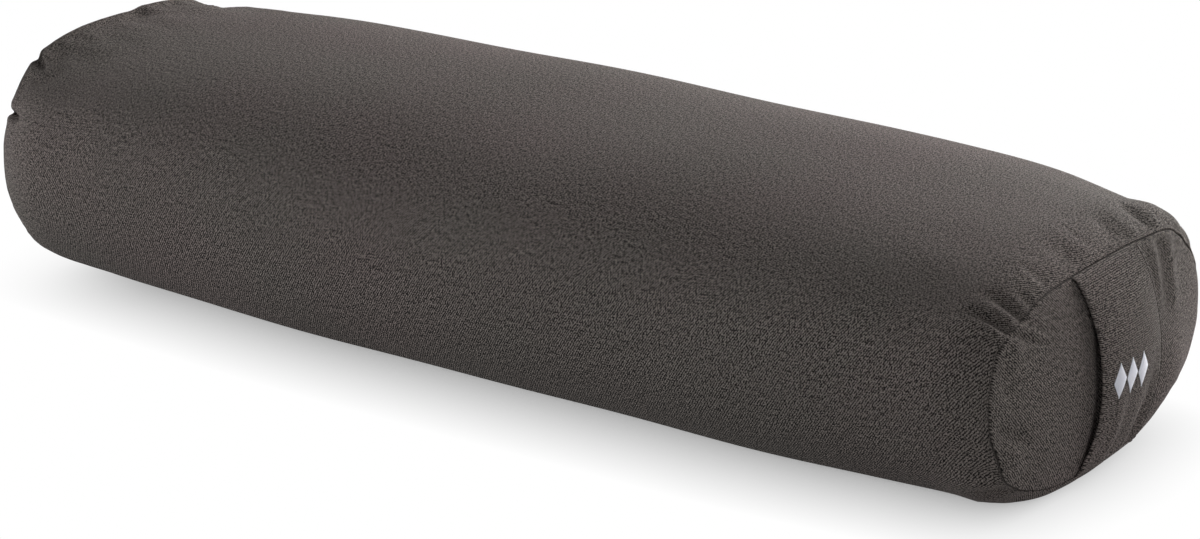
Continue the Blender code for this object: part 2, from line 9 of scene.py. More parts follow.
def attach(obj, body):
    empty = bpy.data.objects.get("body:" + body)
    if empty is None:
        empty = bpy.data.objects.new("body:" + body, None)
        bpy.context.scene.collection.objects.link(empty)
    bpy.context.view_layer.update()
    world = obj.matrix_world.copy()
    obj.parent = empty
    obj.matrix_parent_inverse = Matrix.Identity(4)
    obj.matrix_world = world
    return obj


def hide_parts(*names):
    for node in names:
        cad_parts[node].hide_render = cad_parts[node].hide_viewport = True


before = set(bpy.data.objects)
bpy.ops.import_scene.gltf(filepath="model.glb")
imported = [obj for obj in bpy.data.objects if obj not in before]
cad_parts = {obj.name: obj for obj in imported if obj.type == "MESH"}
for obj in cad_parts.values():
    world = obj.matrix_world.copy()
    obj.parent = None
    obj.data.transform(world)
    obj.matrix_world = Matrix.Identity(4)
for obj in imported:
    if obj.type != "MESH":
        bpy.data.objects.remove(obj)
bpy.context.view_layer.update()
print("frame loaded:", len(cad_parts), "CAD nodes")

scene = bpy.context.scene
scene.view_settings.view_transform = "Standard"


# Camera, at the photograph's place: angles in degrees, the rest in metres

cameraView = {
    "azimuth": 36.0,
    "elevation": 19.48,
    "distance": 2.394,
    "target": (0.0171, 0.0, 0.0519),
    "focal": 4279.5,          # in pixels of the photograph
    "photoWidth": 1200,
    "sensor": 36.0,           # mm
}


# The way from the object towards a place at this azimuth and elevation, in degrees
def wayTo(azimuth, elevation):
    azimuth, elevation = math.radians(azimuth), math.radians(elevation)
    return Vector((
        math.sin(azimuth) * math.cos(elevation),
        -math.cos(azimuth) * math.cos(elevation),
        math.sin(elevation),
    ))


def inScene(name, data):
    made = bpy.data.objects.new(name, data)
    scene.collection.objects.link(made)
    return made


def aimAt(name, data, place, back):
    aimed = inScene(name, data)
    aimed.location = place
    aimed.rotation_mode = "QUATERNION"
    aimed.rotation_quaternion = (-back).to_track_quat("-Z", "Y")
    return aimed


def makeCamera(view):
    back = wayTo(view["azimuth"], view["elevation"])
    data = bpy.data.cameras.new("camera")
    data.sensor_width = view["sensor"]
    data.lens = view["focal"] / view["photoWidth"] * view["sensor"]
    scene.camera = aimAt("camera", data, Vector(view["target"]) + back * view["distance"], back)


makeCamera(cameraView)
print("camera placed")


# Small tools for shapes

def smoothstep(value):
    value = np.clip(value, 0, 1)
    return value * value * (3 - 2 * value)


def signedPower(value, exponent):
    return np.sign(value) * np.abs(value) ** exponent


def mix(first, second, share):
    return first + (second - first) * share


def unit(vectors):
    return vectors / np.maximum(np.linalg.norm(vectors, axis=-1, keepdims=True), 1e-12)


def bump(offset, width):
    return np.exp(-((offset / width) ** 2))


# From 0 to 1 over a span of values that begins at start
def rising(value, start, span):
    return smoothstep((value - start) / span)


def turnBetween(degrees, middle):
    return (degrees - middle + 180) % 360 - 180


def runningLength(points):
    return np.concatenate([[0], np.cumsum(np.linalg.norm(np.diff(points, axis=0), axis=1))])


# The points at these places, between those that are known
def pointsBetween(places, known, points, period=None):
    return np.stack([np.interp(places, known, points[:, k], period=period) for k in range(3)], -1)


# The cover's shape, from the same sizes as its CAD solids, in metres

coverShape = {
    "seamLength": 0.6742,
    "halfWidth": 0.1395,
    "widthLoss": 0.0234,
    "crownRise": 0.0626,
    "crownLoss": 0.0122,
    "widestHeight": 0.0859,
    "bellyDrop": 0.0909,
    "upperRoundness": 2.34,
    "lowerRoundness": 2.30,
    "taperPower": 3.0,
    "seamRoundness": 2.49,
    "roundingTurn": math.radians(66),
    "domePower": 2.2,
}
handleEnd = {"side": 1, "halfWidth": 0.1080, "halfHeight": 0.0581, "height": 0.0677,
             "rounding": 0.0300, "dome": 0.0115, "seamX": 0.33495}
farEnd = {"side": -1, "halfWidth": 0.1042, "halfHeight": 0.0663, "height": 0.0761,
          "rounding": 0.0438, "dome": 0.0180, "seamX": -0.33925}
zipFlat = {
    "angle": math.radians(8),
    "halfAngle": math.radians(10.5),
    "fadeAngle": math.radians(40),
    "setIn": 0.0021,
    "straightHalf": 0.2100,
    "windowHalfLength": 0.1950,
    "windowHalfWidth": 0.0060,
}
longSeam = {"halfWidth": 0.0009, "depth": 0.0007, "fade": 0.006}
bodyStart = farEnd["seamX"] + farEnd["rounding"]
bodyEnd = handleEnd["seamX"] - handleEnd["rounding"]

# The cloth layers and the filling, by their depths under the cover's skin: in general,
# behind the zip and at the end seams
coverLayer = {"depth": 0.0, "zipDepth": 0.0, "seamDepth": 0.0, "wall": 0.0010,
              "seamGap": 0.0005, "seamRoll": 0.0009, "allowance": 0.0060, "opens": 1}
linerLayer = {"depth": 0.0013, "zipDepth": 0.0056, "seamDepth": 0.0072, "wall": 0.0006,
              "seamGap": 0.0004, "seamRoll": 0.0007, "allowance": 0.0030, "opens": 0}
fillingLayer = {"depth": 0.0022, "zipDepth": 0.0089, "seamDepth": 0.0112, "seamGap": 0, "opens": 0}


# A cross-section's y and z, cut flat where it meets the floor
def sectionPoints(angle, halfWidth, rise, drop, upper, lower, height):
    sine, cosine = np.sin(angle), np.cos(angle)
    roundness = np.where(sine > 0, upper, lower)
    y = halfWidth * signedPower(cosine, 2 / roundness)
    z = height + np.where(sine > 0, rise, drop) * signedPower(sine, 2 / roundness)
    return y, np.maximum(z, 0)


def offZip(angle):
    return np.abs((angle - zipFlat["angle"] + math.pi) % math.tau - math.pi)


# The tube: along is -2 to -1 over the far rounding, -1 to 1 over the body, 1 to 2
# over the rounding at the handle end
def tubePoints(along, angle):
    along, angle = np.broadcast_arrays(np.asarray(along, float), np.asarray(angle, float))
    near = along > 0
    size = {key: np.where(near, handleEnd[key], farEnd[key]) for key in handleEnd}
    fullTurn = coverShape["roundingTurn"]
    turn = np.maximum(np.abs(along) - 1, 0) * fullTurn
    bodyX = mix(bodyStart, bodyEnd, (along + 1) / 2)
    roundX = np.where(near, bodyEnd, bodyStart)
    roundX = roundX + size["side"] * size["rounding"] * np.sin(turn) / math.sin(fullTurn)
    x = np.where(turn > 0, roundX, bodyX)
    full = 1 - (1 - np.cos(turn)) / (1 - math.cos(fullTurn))
    middle = (farEnd["seamX"] + handleEnd["seamX"]) / 2
    taper = np.abs((x - middle) / (coverShape["seamLength"] / 2)) ** coverShape["taperPower"]
    y, z = sectionPoints(
        angle,
        mix(size["halfWidth"], coverShape["halfWidth"] - coverShape["widthLoss"] * taper, full),
        mix(size["halfHeight"], coverShape["crownRise"] - coverShape["crownLoss"] * taper, full),
        mix(size["halfHeight"], coverShape["bellyDrop"], full),
        mix(coverShape["seamRoundness"], coverShape["upperRoundness"], full),
        mix(coverShape["seamRoundness"], coverShape["lowerRoundness"], full),
        mix(size["height"], coverShape["widestHeight"], full),
    )
    reach = np.where(x > 0, bodyEnd, -bodyStart) - zipFlat["straightHalf"]
    held = 1 - smoothstep((np.abs(x) - zipFlat["straightHalf"]) / reach)
    held = held * (1 - smoothstep((offZip(angle) - zipFlat["halfAngle"]) / zipFlat["fadeAngle"]))
    straightY, straightZ = sectionPoints(
        angle, coverShape["halfWidth"] - zipFlat["setIn"], coverShape["crownRise"],
        coverShape["bellyDrop"], coverShape["upperRoundness"], coverShape["lowerRoundness"],
        coverShape["widestHeight"],
    )
    return np.stack([x, mix(y, straightY, held), mix(z, straightZ, held)], -1)


# An end panel: share is 0 at its middle and 1 at its seam
def panelPoints(end, share, angle):
    share, angle = np.broadcast_arrays(np.asarray(share, float), np.asarray(angle, float))
    y, z = sectionPoints(
        angle, end["halfWidth"] * share, end["halfHeight"] * share, end["halfHeight"] * share,
        coverShape["seamRoundness"], coverShape["seamRoundness"], end["height"],
    )
    x = end["seamX"] + end["side"] * end["dome"] * (1 - share ** coverShape["domePower"])
    return np.stack([x, y, z], -1)


# Angles spaced evenly by length along a loop, which is measured at many samples
def evenAngles(surface, start, stop, count, samples=4001):
    fine = np.linspace(start, stop, samples)
    lengths = runningLength(surface(fine))
    return np.interp(np.linspace(0, lengths[-1], count), lengths, fine)


# Each column is two angles and the share of the way between them, so that the zip's
# flat stays flat. The last columns lie on the flat: to the window's lower edge, three
# along the long seam's line, and from the window's upper edge.
def tubeColumns(count, flatCount):
    low, high = zipFlat["angle"] - zipFlat["halfAngle"], zipFlat["angle"] + zipFlat["halfAngle"]
    corners = tubePoints(0, np.array([low, high]))
    width = np.linalg.norm(corners[1] - corners[0])
    window, groove = zipFlat["windowHalfWidth"] / width, longSeam["halfWidth"] / width
    angles = evenAngles(lambda a: tubePoints(0, a), high, low + math.tau, count)
    shares = np.concatenate([
        np.linspace(0, 0.5 - window, flatCount)[1:],
        [0.5 - groove, 0.5, 0.5 + groove],
        np.linspace(0.5 + window, 1, flatCount)[:-1],
    ])
    return {
        "first": np.concatenate([angles, np.full(len(shares), low)]),
        "second": np.concatenate([angles, np.full(len(shares), high)]),
        "share": np.concatenate([np.zeros(count), shares]),
        "lowerEdge": count + flatCount - 2,
        "seam": count + flatCount,
        "upperEdge": count + flatCount + 2,
    }


# The columns at these angles, with those on the zip's flat laid between its two edges
def columnsAt(angles):
    low, width = zipFlat["angle"] - zipFlat["halfAngle"], 2 * zipFlat["halfAngle"]
    off = (angles - low) % math.tau
    onFlat = off < width
    return {
        "first": np.where(onFlat, low, angles),
        "second": np.where(onFlat, low + width, angles),
        "share": np.where(onFlat, off / width, 0),
        "seam": -1,
    }


def atColumns(surface, columns):
    return mix(surface(columns["first"]), surface(columns["second"]), columns["share"][:, None])


def columnDegrees(columns):
    return np.degrees(mix(columns["first"], columns["second"], columns["share"])) % 360


def gridNormals(grid):
    across = np.roll(grid, -1, 1) - np.roll(grid, 1, 1)
    return unit(np.cross(across, np.gradient(grid, axis=0)))


# Lengths along the cloth from the handle end's seam and from the far end's
def seamDistances(grid):
    step = np.linalg.norm(np.diff(grid, axis=0), axis=2)
    zeros = np.zeros((1, grid.shape[1]))
    far = np.concatenate([zeros, np.cumsum(step, 0)])
    near = np.concatenate([np.cumsum(step[::-1], 0)[::-1], zeros])
    return near, far


# Changes a mesh by a function of its bmesh
def reshape(mesh, change):
    shell = bmesh.new()
    shell.from_mesh(mesh)
    change(shell)
    shell.to_mesh(mesh)
    shell.free()


def turnOutwards(shell):
    bmesh.ops.recalc_face_normals(shell, faces=shell.faces)


def dropLoose(shell):
    bmesh.ops.delete(shell, geom=[v for v in shell.verts if not v.link_faces], context="VERTS")


# A mesh from points and faces. The weave's coordinate is a pair for each point; on cloth
# sewn into a loop, whole is its length all round, added where a face spans its ends.
def makeMesh(name, points, faces, material, uv=None, whole=None, closed=False):
    mesh = bpy.data.meshes.new(name)
    mesh.from_pydata(np.asarray(points).tolist(), [], faces)
    if closed:
        reshape(mesh, turnOutwards)
    mesh.materials.append(material)
    mesh.shade_smooth()
    if uv is not None:
        corners, starts = np.zeros(len(mesh.loops), np.int32), np.zeros(len(mesh.polygons), np.int32)
        mesh.loops.foreach_get("vertex_index", corners)
        mesh.polygons.foreach_get("loop_start", starts)
        pairs = np.asarray(uv, float)[corners]
        if whole:
            sizes = np.diff(np.append(starts, len(corners)))
            highest = np.repeat(np.maximum.reduceat(pairs[:, 1], starts), sizes)
            pairs[:, 1] += whole * (pairs[:, 1] < highest - whole / 2)
        mesh.uv_layers.new(name="weave").data.foreach_set("uv", pairs.astype(np.float32).ravel())
    return inScene(name, mesh)


def pointsOf(mesh):
    points = np.empty(len(mesh.vertices) * 3, np.float32)
    mesh.vertices.foreach_get("co", points)
    return points.reshape(-1, 3)


# Faces between two rows of points, given by the index of each row's first point
def joinRows(first, second, count, skip=()):
    return [
        (first + i, first + (i + 1) % count, second + (i + 1) % count, second + i)
        for i in range(count) if i not in skip
    ]


def turned(pairs, degrees):
    cosine, sine = math.cos(math.radians(degrees)), math.sin(math.radians(degrees))
    return np.stack([
        pairs[..., 0] * cosine - pairs[..., 1] * sine,
        pairs[..., 0] * sine + pairs[..., 1] * cosine,
    ], -1)


# What a finished piece stands for and what it moves with
def settle(piece, slot, *nodes, body="bolster", fill=None):
    if nodes:
        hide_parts(*nodes)
    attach(piece, body)


# Small tools for node trees

def feed(tree, socket, value):
    if isinstance(value, bpy.types.NodeSocket):
        tree.links.new(value, socket)
    else:
        socket.default_value = value


def addNode(tree, kind, inputs=None, **settings):
    node = tree.nodes.new(kind)
    for key, value in settings.items():
        setattr(node, key, value)
    for key, value in (inputs or {}).items():
        feed(tree, node.inputs[key], value)
    return node


def calc(tree, operation, *values):
    return addNode(tree, "ShaderNodeMath", dict(enumerate(values)), operation=operation).outputs[0]


def vectorCalc(tree, operation, inputs):
    return addNode(tree, "ShaderNodeVectorMath", inputs, operation=operation).outputs


def threeParts(tree, x, y, z):
    return addNode(tree, "ShaderNodeCombineXYZ", {0: x, 1: y, 2: z}).outputs[0]


def partsOf(tree, vector):
    return addNode(tree, "ShaderNodeSeparateXYZ", {0: vector}).outputs


def newTree(name, kind, inputs, outputs):
    tree = bpy.data.node_groups.new(name, kind)
    for label, socket, value in inputs:
        item = tree.interface.new_socket(label, in_out="INPUT", socket_type=socket)
        if value is not None:
            item.default_value = value
    for label, socket in outputs:
        tree.interface.new_socket(label, in_out="OUTPUT", socket_type=socket)
    given, made = tree.nodes.new("NodeGroupInput"), tree.nodes.new("NodeGroupOutput")
    return tree, given.outputs, made.inputs


def newMaterial(name, look):
    material = bpy.data.materials.new(name)
    material.use_nodes = True
    shader = material.node_tree.nodes["Principled BSDF"]
    shader.inputs["Roughness"].default_value = look["roughness"]
    shader.inputs["Specular IOR Level"].default_value = look.get("specular", 0.5)
    shader.inputs["Metallic"].default_value = look.get("metallic", 0.0)
    return material, material.node_tree, shader


# Waves from 0 to 1 along a phase counted in whole waves
def ripple(tree, phase):
    sine = calc(tree, "SINE", calc(tree, "MULTIPLY", phase, math.tau))
    return calc(tree, "MULTIPLY_ADD", sine, 0.5, 0.5)


def dot(tree, first, second):
    return vectorCalc(tree, "DOT_PRODUCT", {0: first, 1: second})["Value"]


def grain(tree, vector, scale, detail=2.0, roughness=0.5):
    return addNode(tree, "ShaderNodeTexNoise", {
        "Vector": vector, "Scale": scale, "Detail": detail, "Roughness": roughness}).outputs["Fac"]


def between(tree, share, first, second):
    return addNode(tree, "ShaderNodeMix", {0: share, 2: first, 3: second}, data_type="FLOAT").outputs[0]


def placeOn(tree):
    return addNode(tree, "ShaderNodeTexCoord").outputs["Object"]


# Diagonal twill: raised wales of short yarn floats, with loose fibres over them and
# thicker and thinner yarn here and there

twillForm = {
    "swayScale": 260.0,
    "sway": 0.9,              # in wales
    "ridgePower": 0.8,
    "floatDepth": 0.35,
    "fuzzHeight": 4.2,
    "slubScale": 800.0,
    "slubStretch": (1.0, 0.5, 1.0),
    "detail": 2.0,
    "roughness": 0.7,
}


def makeTwillGroup():
    tree, given, made = newTree(
        "twillWeave", "ShaderNodeTree",
        [("Vector", "NodeSocketVector", None), ("Across", "NodeSocketVector", None),
         ("Along", "NodeSocketVector", None), ("Fuzz", "NodeSocketFloat", 0.4),
         ("Fuzz Scale", "NodeSocketFloat", 900.0), ("Slub", "NodeSocketFloat", 0.3),
         ("Contrast", "NodeSocketFloat", 1.0)],
        [("Height", "NodeSocketFloat"), ("Shade", "NodeSocketFloat")],
    )
    cloth, form = given["Vector"], twillForm
    sway = calc(tree, "MULTIPLY", grain(tree, cloth, form["swayScale"], 1.0), form["sway"])
    wale = calc(tree, "ADD", dot(tree, cloth, given["Across"]), sway)
    ridge = calc(tree, "POWER", ripple(tree, wale), form["ridgePower"])
    brick = calc(tree, "MULTIPLY", calc(tree, "FLOOR", wale), 0.5)
    yarn = ripple(tree, calc(tree, "ADD", dot(tree, cloth, given["Along"]), brick))
    floats = calc(tree, "MULTIPLY_ADD", yarn, form["floatDepth"], 1 - form["floatDepth"])
    woven = calc(tree, "MULTIPLY", ridge, floats)
    fuzz = grain(tree, cloth, given["Fuzz Scale"], form["detail"], form["roughness"])
    fuzz = calc(tree, "MULTIPLY_ADD", calc(tree, "SUBTRACT", fuzz, 0.5), form["fuzzHeight"], 0.5)
    height = between(tree, given["Fuzz"], woven, fuzz)
    yarns = vectorCalc(tree, "MULTIPLY", {0: cloth, 1: form["slubStretch"]})[0]
    slub = grain(tree, yarns, form["slubScale"], form["detail"], form["roughness"])
    slub = calc(tree, "SUBTRACT", slub, 0.5)
    level = calc(tree, "MULTIPLY_ADD", calc(tree, "SUBTRACT", height, 0.5), given["Contrast"], 0.5)
    shade = calc(tree, "MULTIPLY_ADD", slub, given["Slub"], level)
    feed(tree, made["Height"], height)
    feed(tree, made["Shade"], addNode(tree, "ShaderNodeClamp", {0: shade}).outputs[0])
    return tree


# Plain weave: warp and weft over and under each other
def makePlainWeaveGroup():
    tree, given, made = newTree(
        "plainWeave", "ShaderNodeTree",
        [("Vector", "NodeSocketVector", None), ("Yarns", "NodeSocketFloat", 1500.0)],
        [("Height", "NodeSocketFloat")],
    )
    turns = calc(tree, "MULTIPLY", given["Yarns"], math.pi)
    waves = [
        calc(tree, "SINE", calc(tree, "MULTIPLY", part, turns))
        for part in partsOf(tree, given["Vector"])[:2]
    ]
    feed(tree, made["Height"], calc(tree, "MULTIPLY_ADD", calc(tree, "MULTIPLY", *waves), 0.5, 0.5))
    return tree


# Slow change of colour over a whole piece, as dye takes on cloth, and light and dark in it
def makeDyeGroup():
    tree, given, made = newTree(
        "dyeChange", "ShaderNodeTree",
        [("Scale", "NodeSocketFloat", 9.0), ("First", "NodeSocketColor", None),
         ("Second", "NodeSocketColor", None), ("Shade", "NodeSocketFloat", 0.5),
         ("Dark", "NodeSocketFloat", 0.7), ("Light", "NodeSocketFloat", 1.3)],
        [("Colour", "NodeSocketColor")],
    )
    spread = addNode(tree, "ShaderNodeMapRange", {
        "Value": grain(tree, placeOn(tree), given["Scale"], 3.0), "From Min": 0.35, "From Max": 0.65})
    dyed = addNode(tree, "ShaderNodeMix", {
        0: spread.outputs["Result"], 6: given["First"], 7: given["Second"]}, data_type="RGBA")
    level = between(tree, given["Shade"], given["Dark"], given["Light"])
    feed(tree, made["Colour"], vectorCalc(tree, "SCALE", {0: dyed.outputs[2], "Scale": level})[0])
    return tree


twillGroup, plainWeaveGroup, dyeGroup = makeTwillGroup(), makePlainWeaveGroup(), makeDyeGroup()


def useGroup(tree, group, inputs):
    return addNode(tree, "ShaderNodeGroup", inputs, node_tree=group).outputs


# A material's colour, with its light and dark, and its relief
def dress(tree, shader, look, shade, height):
    colour = useGroup(tree, dyeGroup, {
        "Scale": look["dyeScale"], "First": (*look["colour"], 1),
        "Second": (*look.get("secondColour", look["colour"]), 1),
        "Shade": shade, "Dark": look["dark"], "Light": look["light"]})["Colour"]
    relief = addNode(tree, "ShaderNodeBump", {
        "Height": height, "Distance": look["bumpDepth"], "Strength": look["bumpStrength"]})
    feed(tree, shader.inputs["Base Color"], colour)
    feed(tree, shader.inputs["Normal"], relief.outputs["Normal"])


# Twill cloth: slope is the way in which its wales run, in degrees on the cloth
def makeTwill(name, look):
    material, tree, shader = newMaterial(name, look)
    cloth = addNode(tree, "ShaderNodeUVMap", uv_map="weave").outputs[0]
    slope = math.radians(look["slope"])
    weave = useGroup(tree, twillGroup, {
        "Vector": cloth,
        "Across": Vector((-math.sin(slope), math.cos(slope), 0)) / look["walePitch"],
        "Along": Vector((math.cos(slope), math.sin(slope), 0)) / look["floatPitch"],
        "Fuzz": look["fuzz"], "Fuzz Scale": look["fuzzScale"], "Slub": look["slub"],
        "Contrast": look["contrast"]})
    dress(tree, shader, look, weave["Shade"], weave["Height"])
    return material


coverTwillLook = {
    "colour": (0.115, 0.096, 0.091),
    "secondColour": (0.107, 0.096, 0.088),
    "dyeScale": 7.0,
    "roughness": 0.95,
    "specular": 0.15,
    "slope": -56,
    "walePitch": 0.0012,
    "floatPitch": 0.0021,
    "fuzz": 0.5,
    "fuzzScale": 1150.0,
    "slub": 3.2,
    "contrast": 2.6,
    "dark": 0.0,
    "light": 2.15,
    "bumpDepth": 0.0006,
    "bumpStrength": 0.8,
}
twill = makeTwill("coverTwill", coverTwillLook)


# Yarn and thread: plies wound round each other, seen as a fine grain
def makeThread(name, look):
    material, tree, shader = newMaterial(name, look)
    plies = grain(tree, placeOn(tree), look["plies"])
    dress(tree, shader, look, plies, plies)
    return material


rawCotton = (0.74, 0.70, 0.61)    # the liner's cloth, thread and zip tape
threadLook = {
    "colour": (0.062, 0.054, 0.050),
    "dyeScale": 40.0,
    "roughness": 0.7,
    "specular": 0.25,
    "plies": 3000.0,
    "dark": 0.7,
    "light": 1.3,
    "bumpDepth": 0.0001,
    "bumpStrength": 0.4,
}
satinLook = {
    **threadLook,
    "colour": (0.70, 0.72, 0.79),
    "roughness": 0.42,
    "specular": 0.45,
    "plies": 1800.0,
    "dark": 0.88,
    "light": 1.12,
}
sewingThread = makeThread("sewingThread", threadLook)
linerThread = makeThread("linerThread", dict(threadLook, colour=rawCotton))
satinThread = makeThread("satinThread", satinLook)


# Cotton cloth in plain weave
def makeCotton(name, look):
    material, tree, shader = newMaterial(name, look)
    cloth = addNode(tree, "ShaderNodeUVMap", uv_map="weave").outputs[0]
    weave = useGroup(tree, plainWeaveGroup, {"Vector": cloth, "Yarns": look["yarns"]})["Height"]
    dress(tree, shader, look, weave, weave)
    return material


linerCottonLook = {
    "colour": rawCotton,
    "secondColour": (0.70, 0.655, 0.56),
    "dyeScale": 12.0,
    "roughness": 0.92,
    "specular": 0.2,
    "yarns": 1700.0,          # in a metre
    "dark": 0.9,
    "light": 1.06,
    "bumpDepth": 0.0002,
    "bumpStrength": 0.5,
}
linerCotton = makeCotton("linerCotton", linerCottonLook)


# Loose cotton wadding: soft clumps with finer fibres in them
def makeWadding(name, look):
    material, tree, shader = newMaterial(name, look)
    clumps = grain(tree, placeOn(tree), look["clumps"], look["detail"])
    dress(tree, shader, look, clumps, clumps)
    return material


fillingLook = {
    "colour": (0.82, 0.79, 0.71),
    "secondColour": (0.76, 0.71, 0.60),
    "dyeScale": 20.0,
    "roughness": 1.0,
    "specular": 0.1,
    "clumps": 90.0,
    "detail": 8.0,
    "dark": 0.85,
    "light": 1.1,
    "bumpDepth": 0.004,
    "bumpStrength": 0.8,
}
fillingCotton = makeWadding("fillingCotton", fillingLook)


# Zip tape: a herringbone of two slopes that meet along its length
def makeTape(name, look):
    material, tree, shader = newMaterial(name, look)
    x, _, z = partsOf(tree, placeOn(tree))
    slope = calc(tree, "ADD", x, calc(tree, "PINGPONG", z, look["band"]))
    height = ripple(tree, calc(tree, "DIVIDE", slope, look["pitch"]))
    dress(tree, shader, look, height, height)
    return material


tapeLook = {
    "colour": (0.070, 0.060, 0.056),
    "dyeScale": 15.0,
    "roughness": 0.85,
    "specular": 0.25,
    "band": 0.0022,
    "pitch": 0.0009,
    "dark": 0.6,
    "light": 1.35,
    "bumpDepth": 0.00015,
    "bumpStrength": 0.6,
}
zipTape = makeTape("zipTape", tapeLook)
linerTape = makeTape("linerTape", dict(tapeLook, colour=rawCotton, dark=0.85, light=1.1))


# Nylon coil and cast metal: fine marks in their colour, shine and surface
def makeHard(name, look):
    material, tree, shader = newMaterial(name, look)
    marks = grain(tree, placeOn(tree), look["marks"], look["detail"])
    dress(tree, shader, look, marks, marks)
    spread = addNode(tree, "ShaderNodeMapRange", {
        "Value": marks, "From Min": 0.3, "From Max": 0.7,
        "To Min": look["roughness"] - look["smoother"], "To Max": look["roughness"] + look["rougher"]})
    feed(tree, shader.inputs["Roughness"], spread.outputs["Result"])
    return material


hardLook = {
    "dyeScale": 60.0,
    "roughness": 0.38,
    "smoother": 0.08,
    "rougher": 0.12,
    "metallic": 0.0,
    "marks": 900.0,
    "detail": 4.0,
    "dark": 0.8,
    "light": 1.2,
    "bumpDepth": 0.00005,
    "bumpStrength": 0.3,
}
zipCoil = makeHard("zipCoil", dict(hardLook, colour=(0.062, 0.054, 0.050)))
linerCoil = makeHard("linerCoil", dict(hardLook, colour=(0.76, 0.73, 0.66)))
metalLook = dict(hardLook, metallic=1.0)
zipMetal = makeHard("zipMetal", dict(metalLook, colour=(0.058, 0.053, 0.050), roughness=0.46))
linerMetal = makeHard("linerMetal", dict(metalLook, colour=(0.60, 0.59, 0.57), roughness=0.30))
print("materials made")


# Folds and gathers that the end seams draw in the tube. Each fold is its place round
# the seam in degrees, its drift in degrees by its far end, its length in metres, its
# half width in degrees and its height in metres, below zero for a valley.

endFolds = {
    1: (
        (136.8, 1.4, 0.034, 2.9, 0.0026), (141.2, 2.4, 0.036, 1.7, -0.0036),
        (144.8, 3.8, 0.034, 1.9, 0.0026), (132.2, 1.2, 0.032, 2.0, -0.0028),
        (128.0, 0.8, 0.018, 2.2, 0.0010), (124.0, 0.5, 0.014, 1.6, -0.0014),
        (151.5, 4.0, 0.032, 3.4, -0.0014),
        (98.0, 2.0, 0.045, 3.0, -0.0004), (92.0, 1.0, 0.050, 3.0, 0.0004),
        (81.0, -1.0, 0.050, 3.0, -0.0004), (74.0, -2.0, 0.045, 2.6, 0.0005),
        (66.0, -2.5, 0.040, 1.6, -0.0006), (61.0, -2.0, 0.034, 2.2, 0.0004),
        (47.0, -3.0, 0.030, 2.4, -0.0007), (42.0, -3.5, 0.032, 2.4, 0.0011),
        (36.5, -4.0, 0.030, 2.4, -0.0012), (31.0, -4.0, 0.026, 2.4, 0.0009),
        (217.5, -5.0, 0.036, 3.0, 0.0016), (212.0, -5.0, 0.038, 2.6, -0.0015),
        (223.5, -3.0, 0.032, 2.6, -0.0014), (229.0, -2.0, 0.026, 2.4, 0.0009),
        (322.0, 3.0, 0.030, 2.8, 0.0009), (315.5, 3.0, 0.028, 2.8, -0.0009),
    ),
    -1: (
        (129.0, 1.0, 0.018, 1.9, -0.0038), (124.5, 0.8, 0.018, 2.2, 0.0014),
        (133.5, 1.0, 0.018, 2.2, 0.0012), (159.4, 1.0, 0.024, 1.5, -0.0078),
        (154.2, 1.0, 0.018, 2.2, 0.0012), (163.2, 1.0, 0.018, 2.2, 0.0014),
        (86.5, 0.0, 0.018, 2.6, -0.0018), (81.5, 0.0, 0.016, 2.2, 0.0010),
        (50.0, -2.0, 0.034, 2.4, -0.0018), (45.0, -2.5, 0.034, 2.2, 0.0018),
        (40.0, -3.0, 0.030, 2.2, -0.0015), (35.5, -3.0, 0.026, 2.2, 0.0011),
        (217.0, -2.0, 0.020, 3.0, -0.0006), (230.0, -2.0, 0.024, 3.0, 0.0005),
        (324.0, 3.0, 0.034, 2.3, 0.0016), (318.5, 3.0, 0.032, 2.2, -0.0015),
    ),
}
gathers = {
    "count": 34,
    "height": 0.00045,
    "length": (0.012, 0.028),
    "width": (1.4, 2.6),      # degrees
    "drift": 2,               # degrees
    "jitter": 0.4,            # of the way to the next one
    "seed": 11,
}
foldRise = {"atSeam": 0.35, "full": 0.007, "spread": 0.5, "wholeShare": 0.25}

# Where each end's seam is drawn into the tube and where it gapes: place and half width
# in degrees, and how far
seamPulls = {1: ((141.6, 2.4, 0.0016),), -1: ((128.0, 3.0, 0.0014), (152.0, 3.0, 0.0014))}
seamOpenings = {1: ((37.0, 8.0, 0.0007), (184.0, 32.0, 0.00035), (100.0, 30.0, 0.00012)), -1: ()}

# How far each end's seam strays outwards from its even outline, at places in degrees
seamStrays = {
    1: ((10, 0), (33, 0.0004), (43, 0.0018), (52, 0.0040), (61, 0.0020), (68, 0.0), (78, -0.0016),
        (90, -0.0028), (102, -0.0027), (111, -0.0012), (120, 0), (132, 0), (142, 0.0016), (146, 0.0034),
        (150, 0.0050), (154, 0.0040), (160, 0.0026), (168, 0.0014), (177, 0.0003), (184, -0.0013),
        (190, -0.0030), (195, -0.0046), (200, -0.0050), (205, -0.0044), (210, -0.0030), (217, -0.0005),
        (235, 0), (254, 0.0011), (266, 0.0008), (280, 0), (292, 0), (302, -0.0012), (312, -0.0026),
        (322, -0.0030), (335, -0.0022), (346, -0.0018), (357, 0)),
    -1: ((0, 0), (60, 0.0006), (88, -0.0024), (104, -0.0010), (122, 0.0006), (138, -0.0004),
         (150, -0.0022), (162, -0.0034), (176, -0.0012), (200, -0.0012), (250, 0.0008), (320, 0.0008)),
}
strayReach = {"tube": 0.045, "panel": 0.024}
strayEasing = {"half": 10, "width": 3.5}    # degrees

# Broad soft lumps of the filling
lumps = {
    "height": 0.00055,
    "waves": 14,
    "lengthways": (2, 7),     # waves in a metre
    "round": (1, 4),          # waves in a full turn
    "endFade": 0.03,
    "seed": 4,
}

# How far from the floor and from the zip's flat the cloth is free to move
freeFrom = {"floor": 0.012, "zip": math.radians(7)}


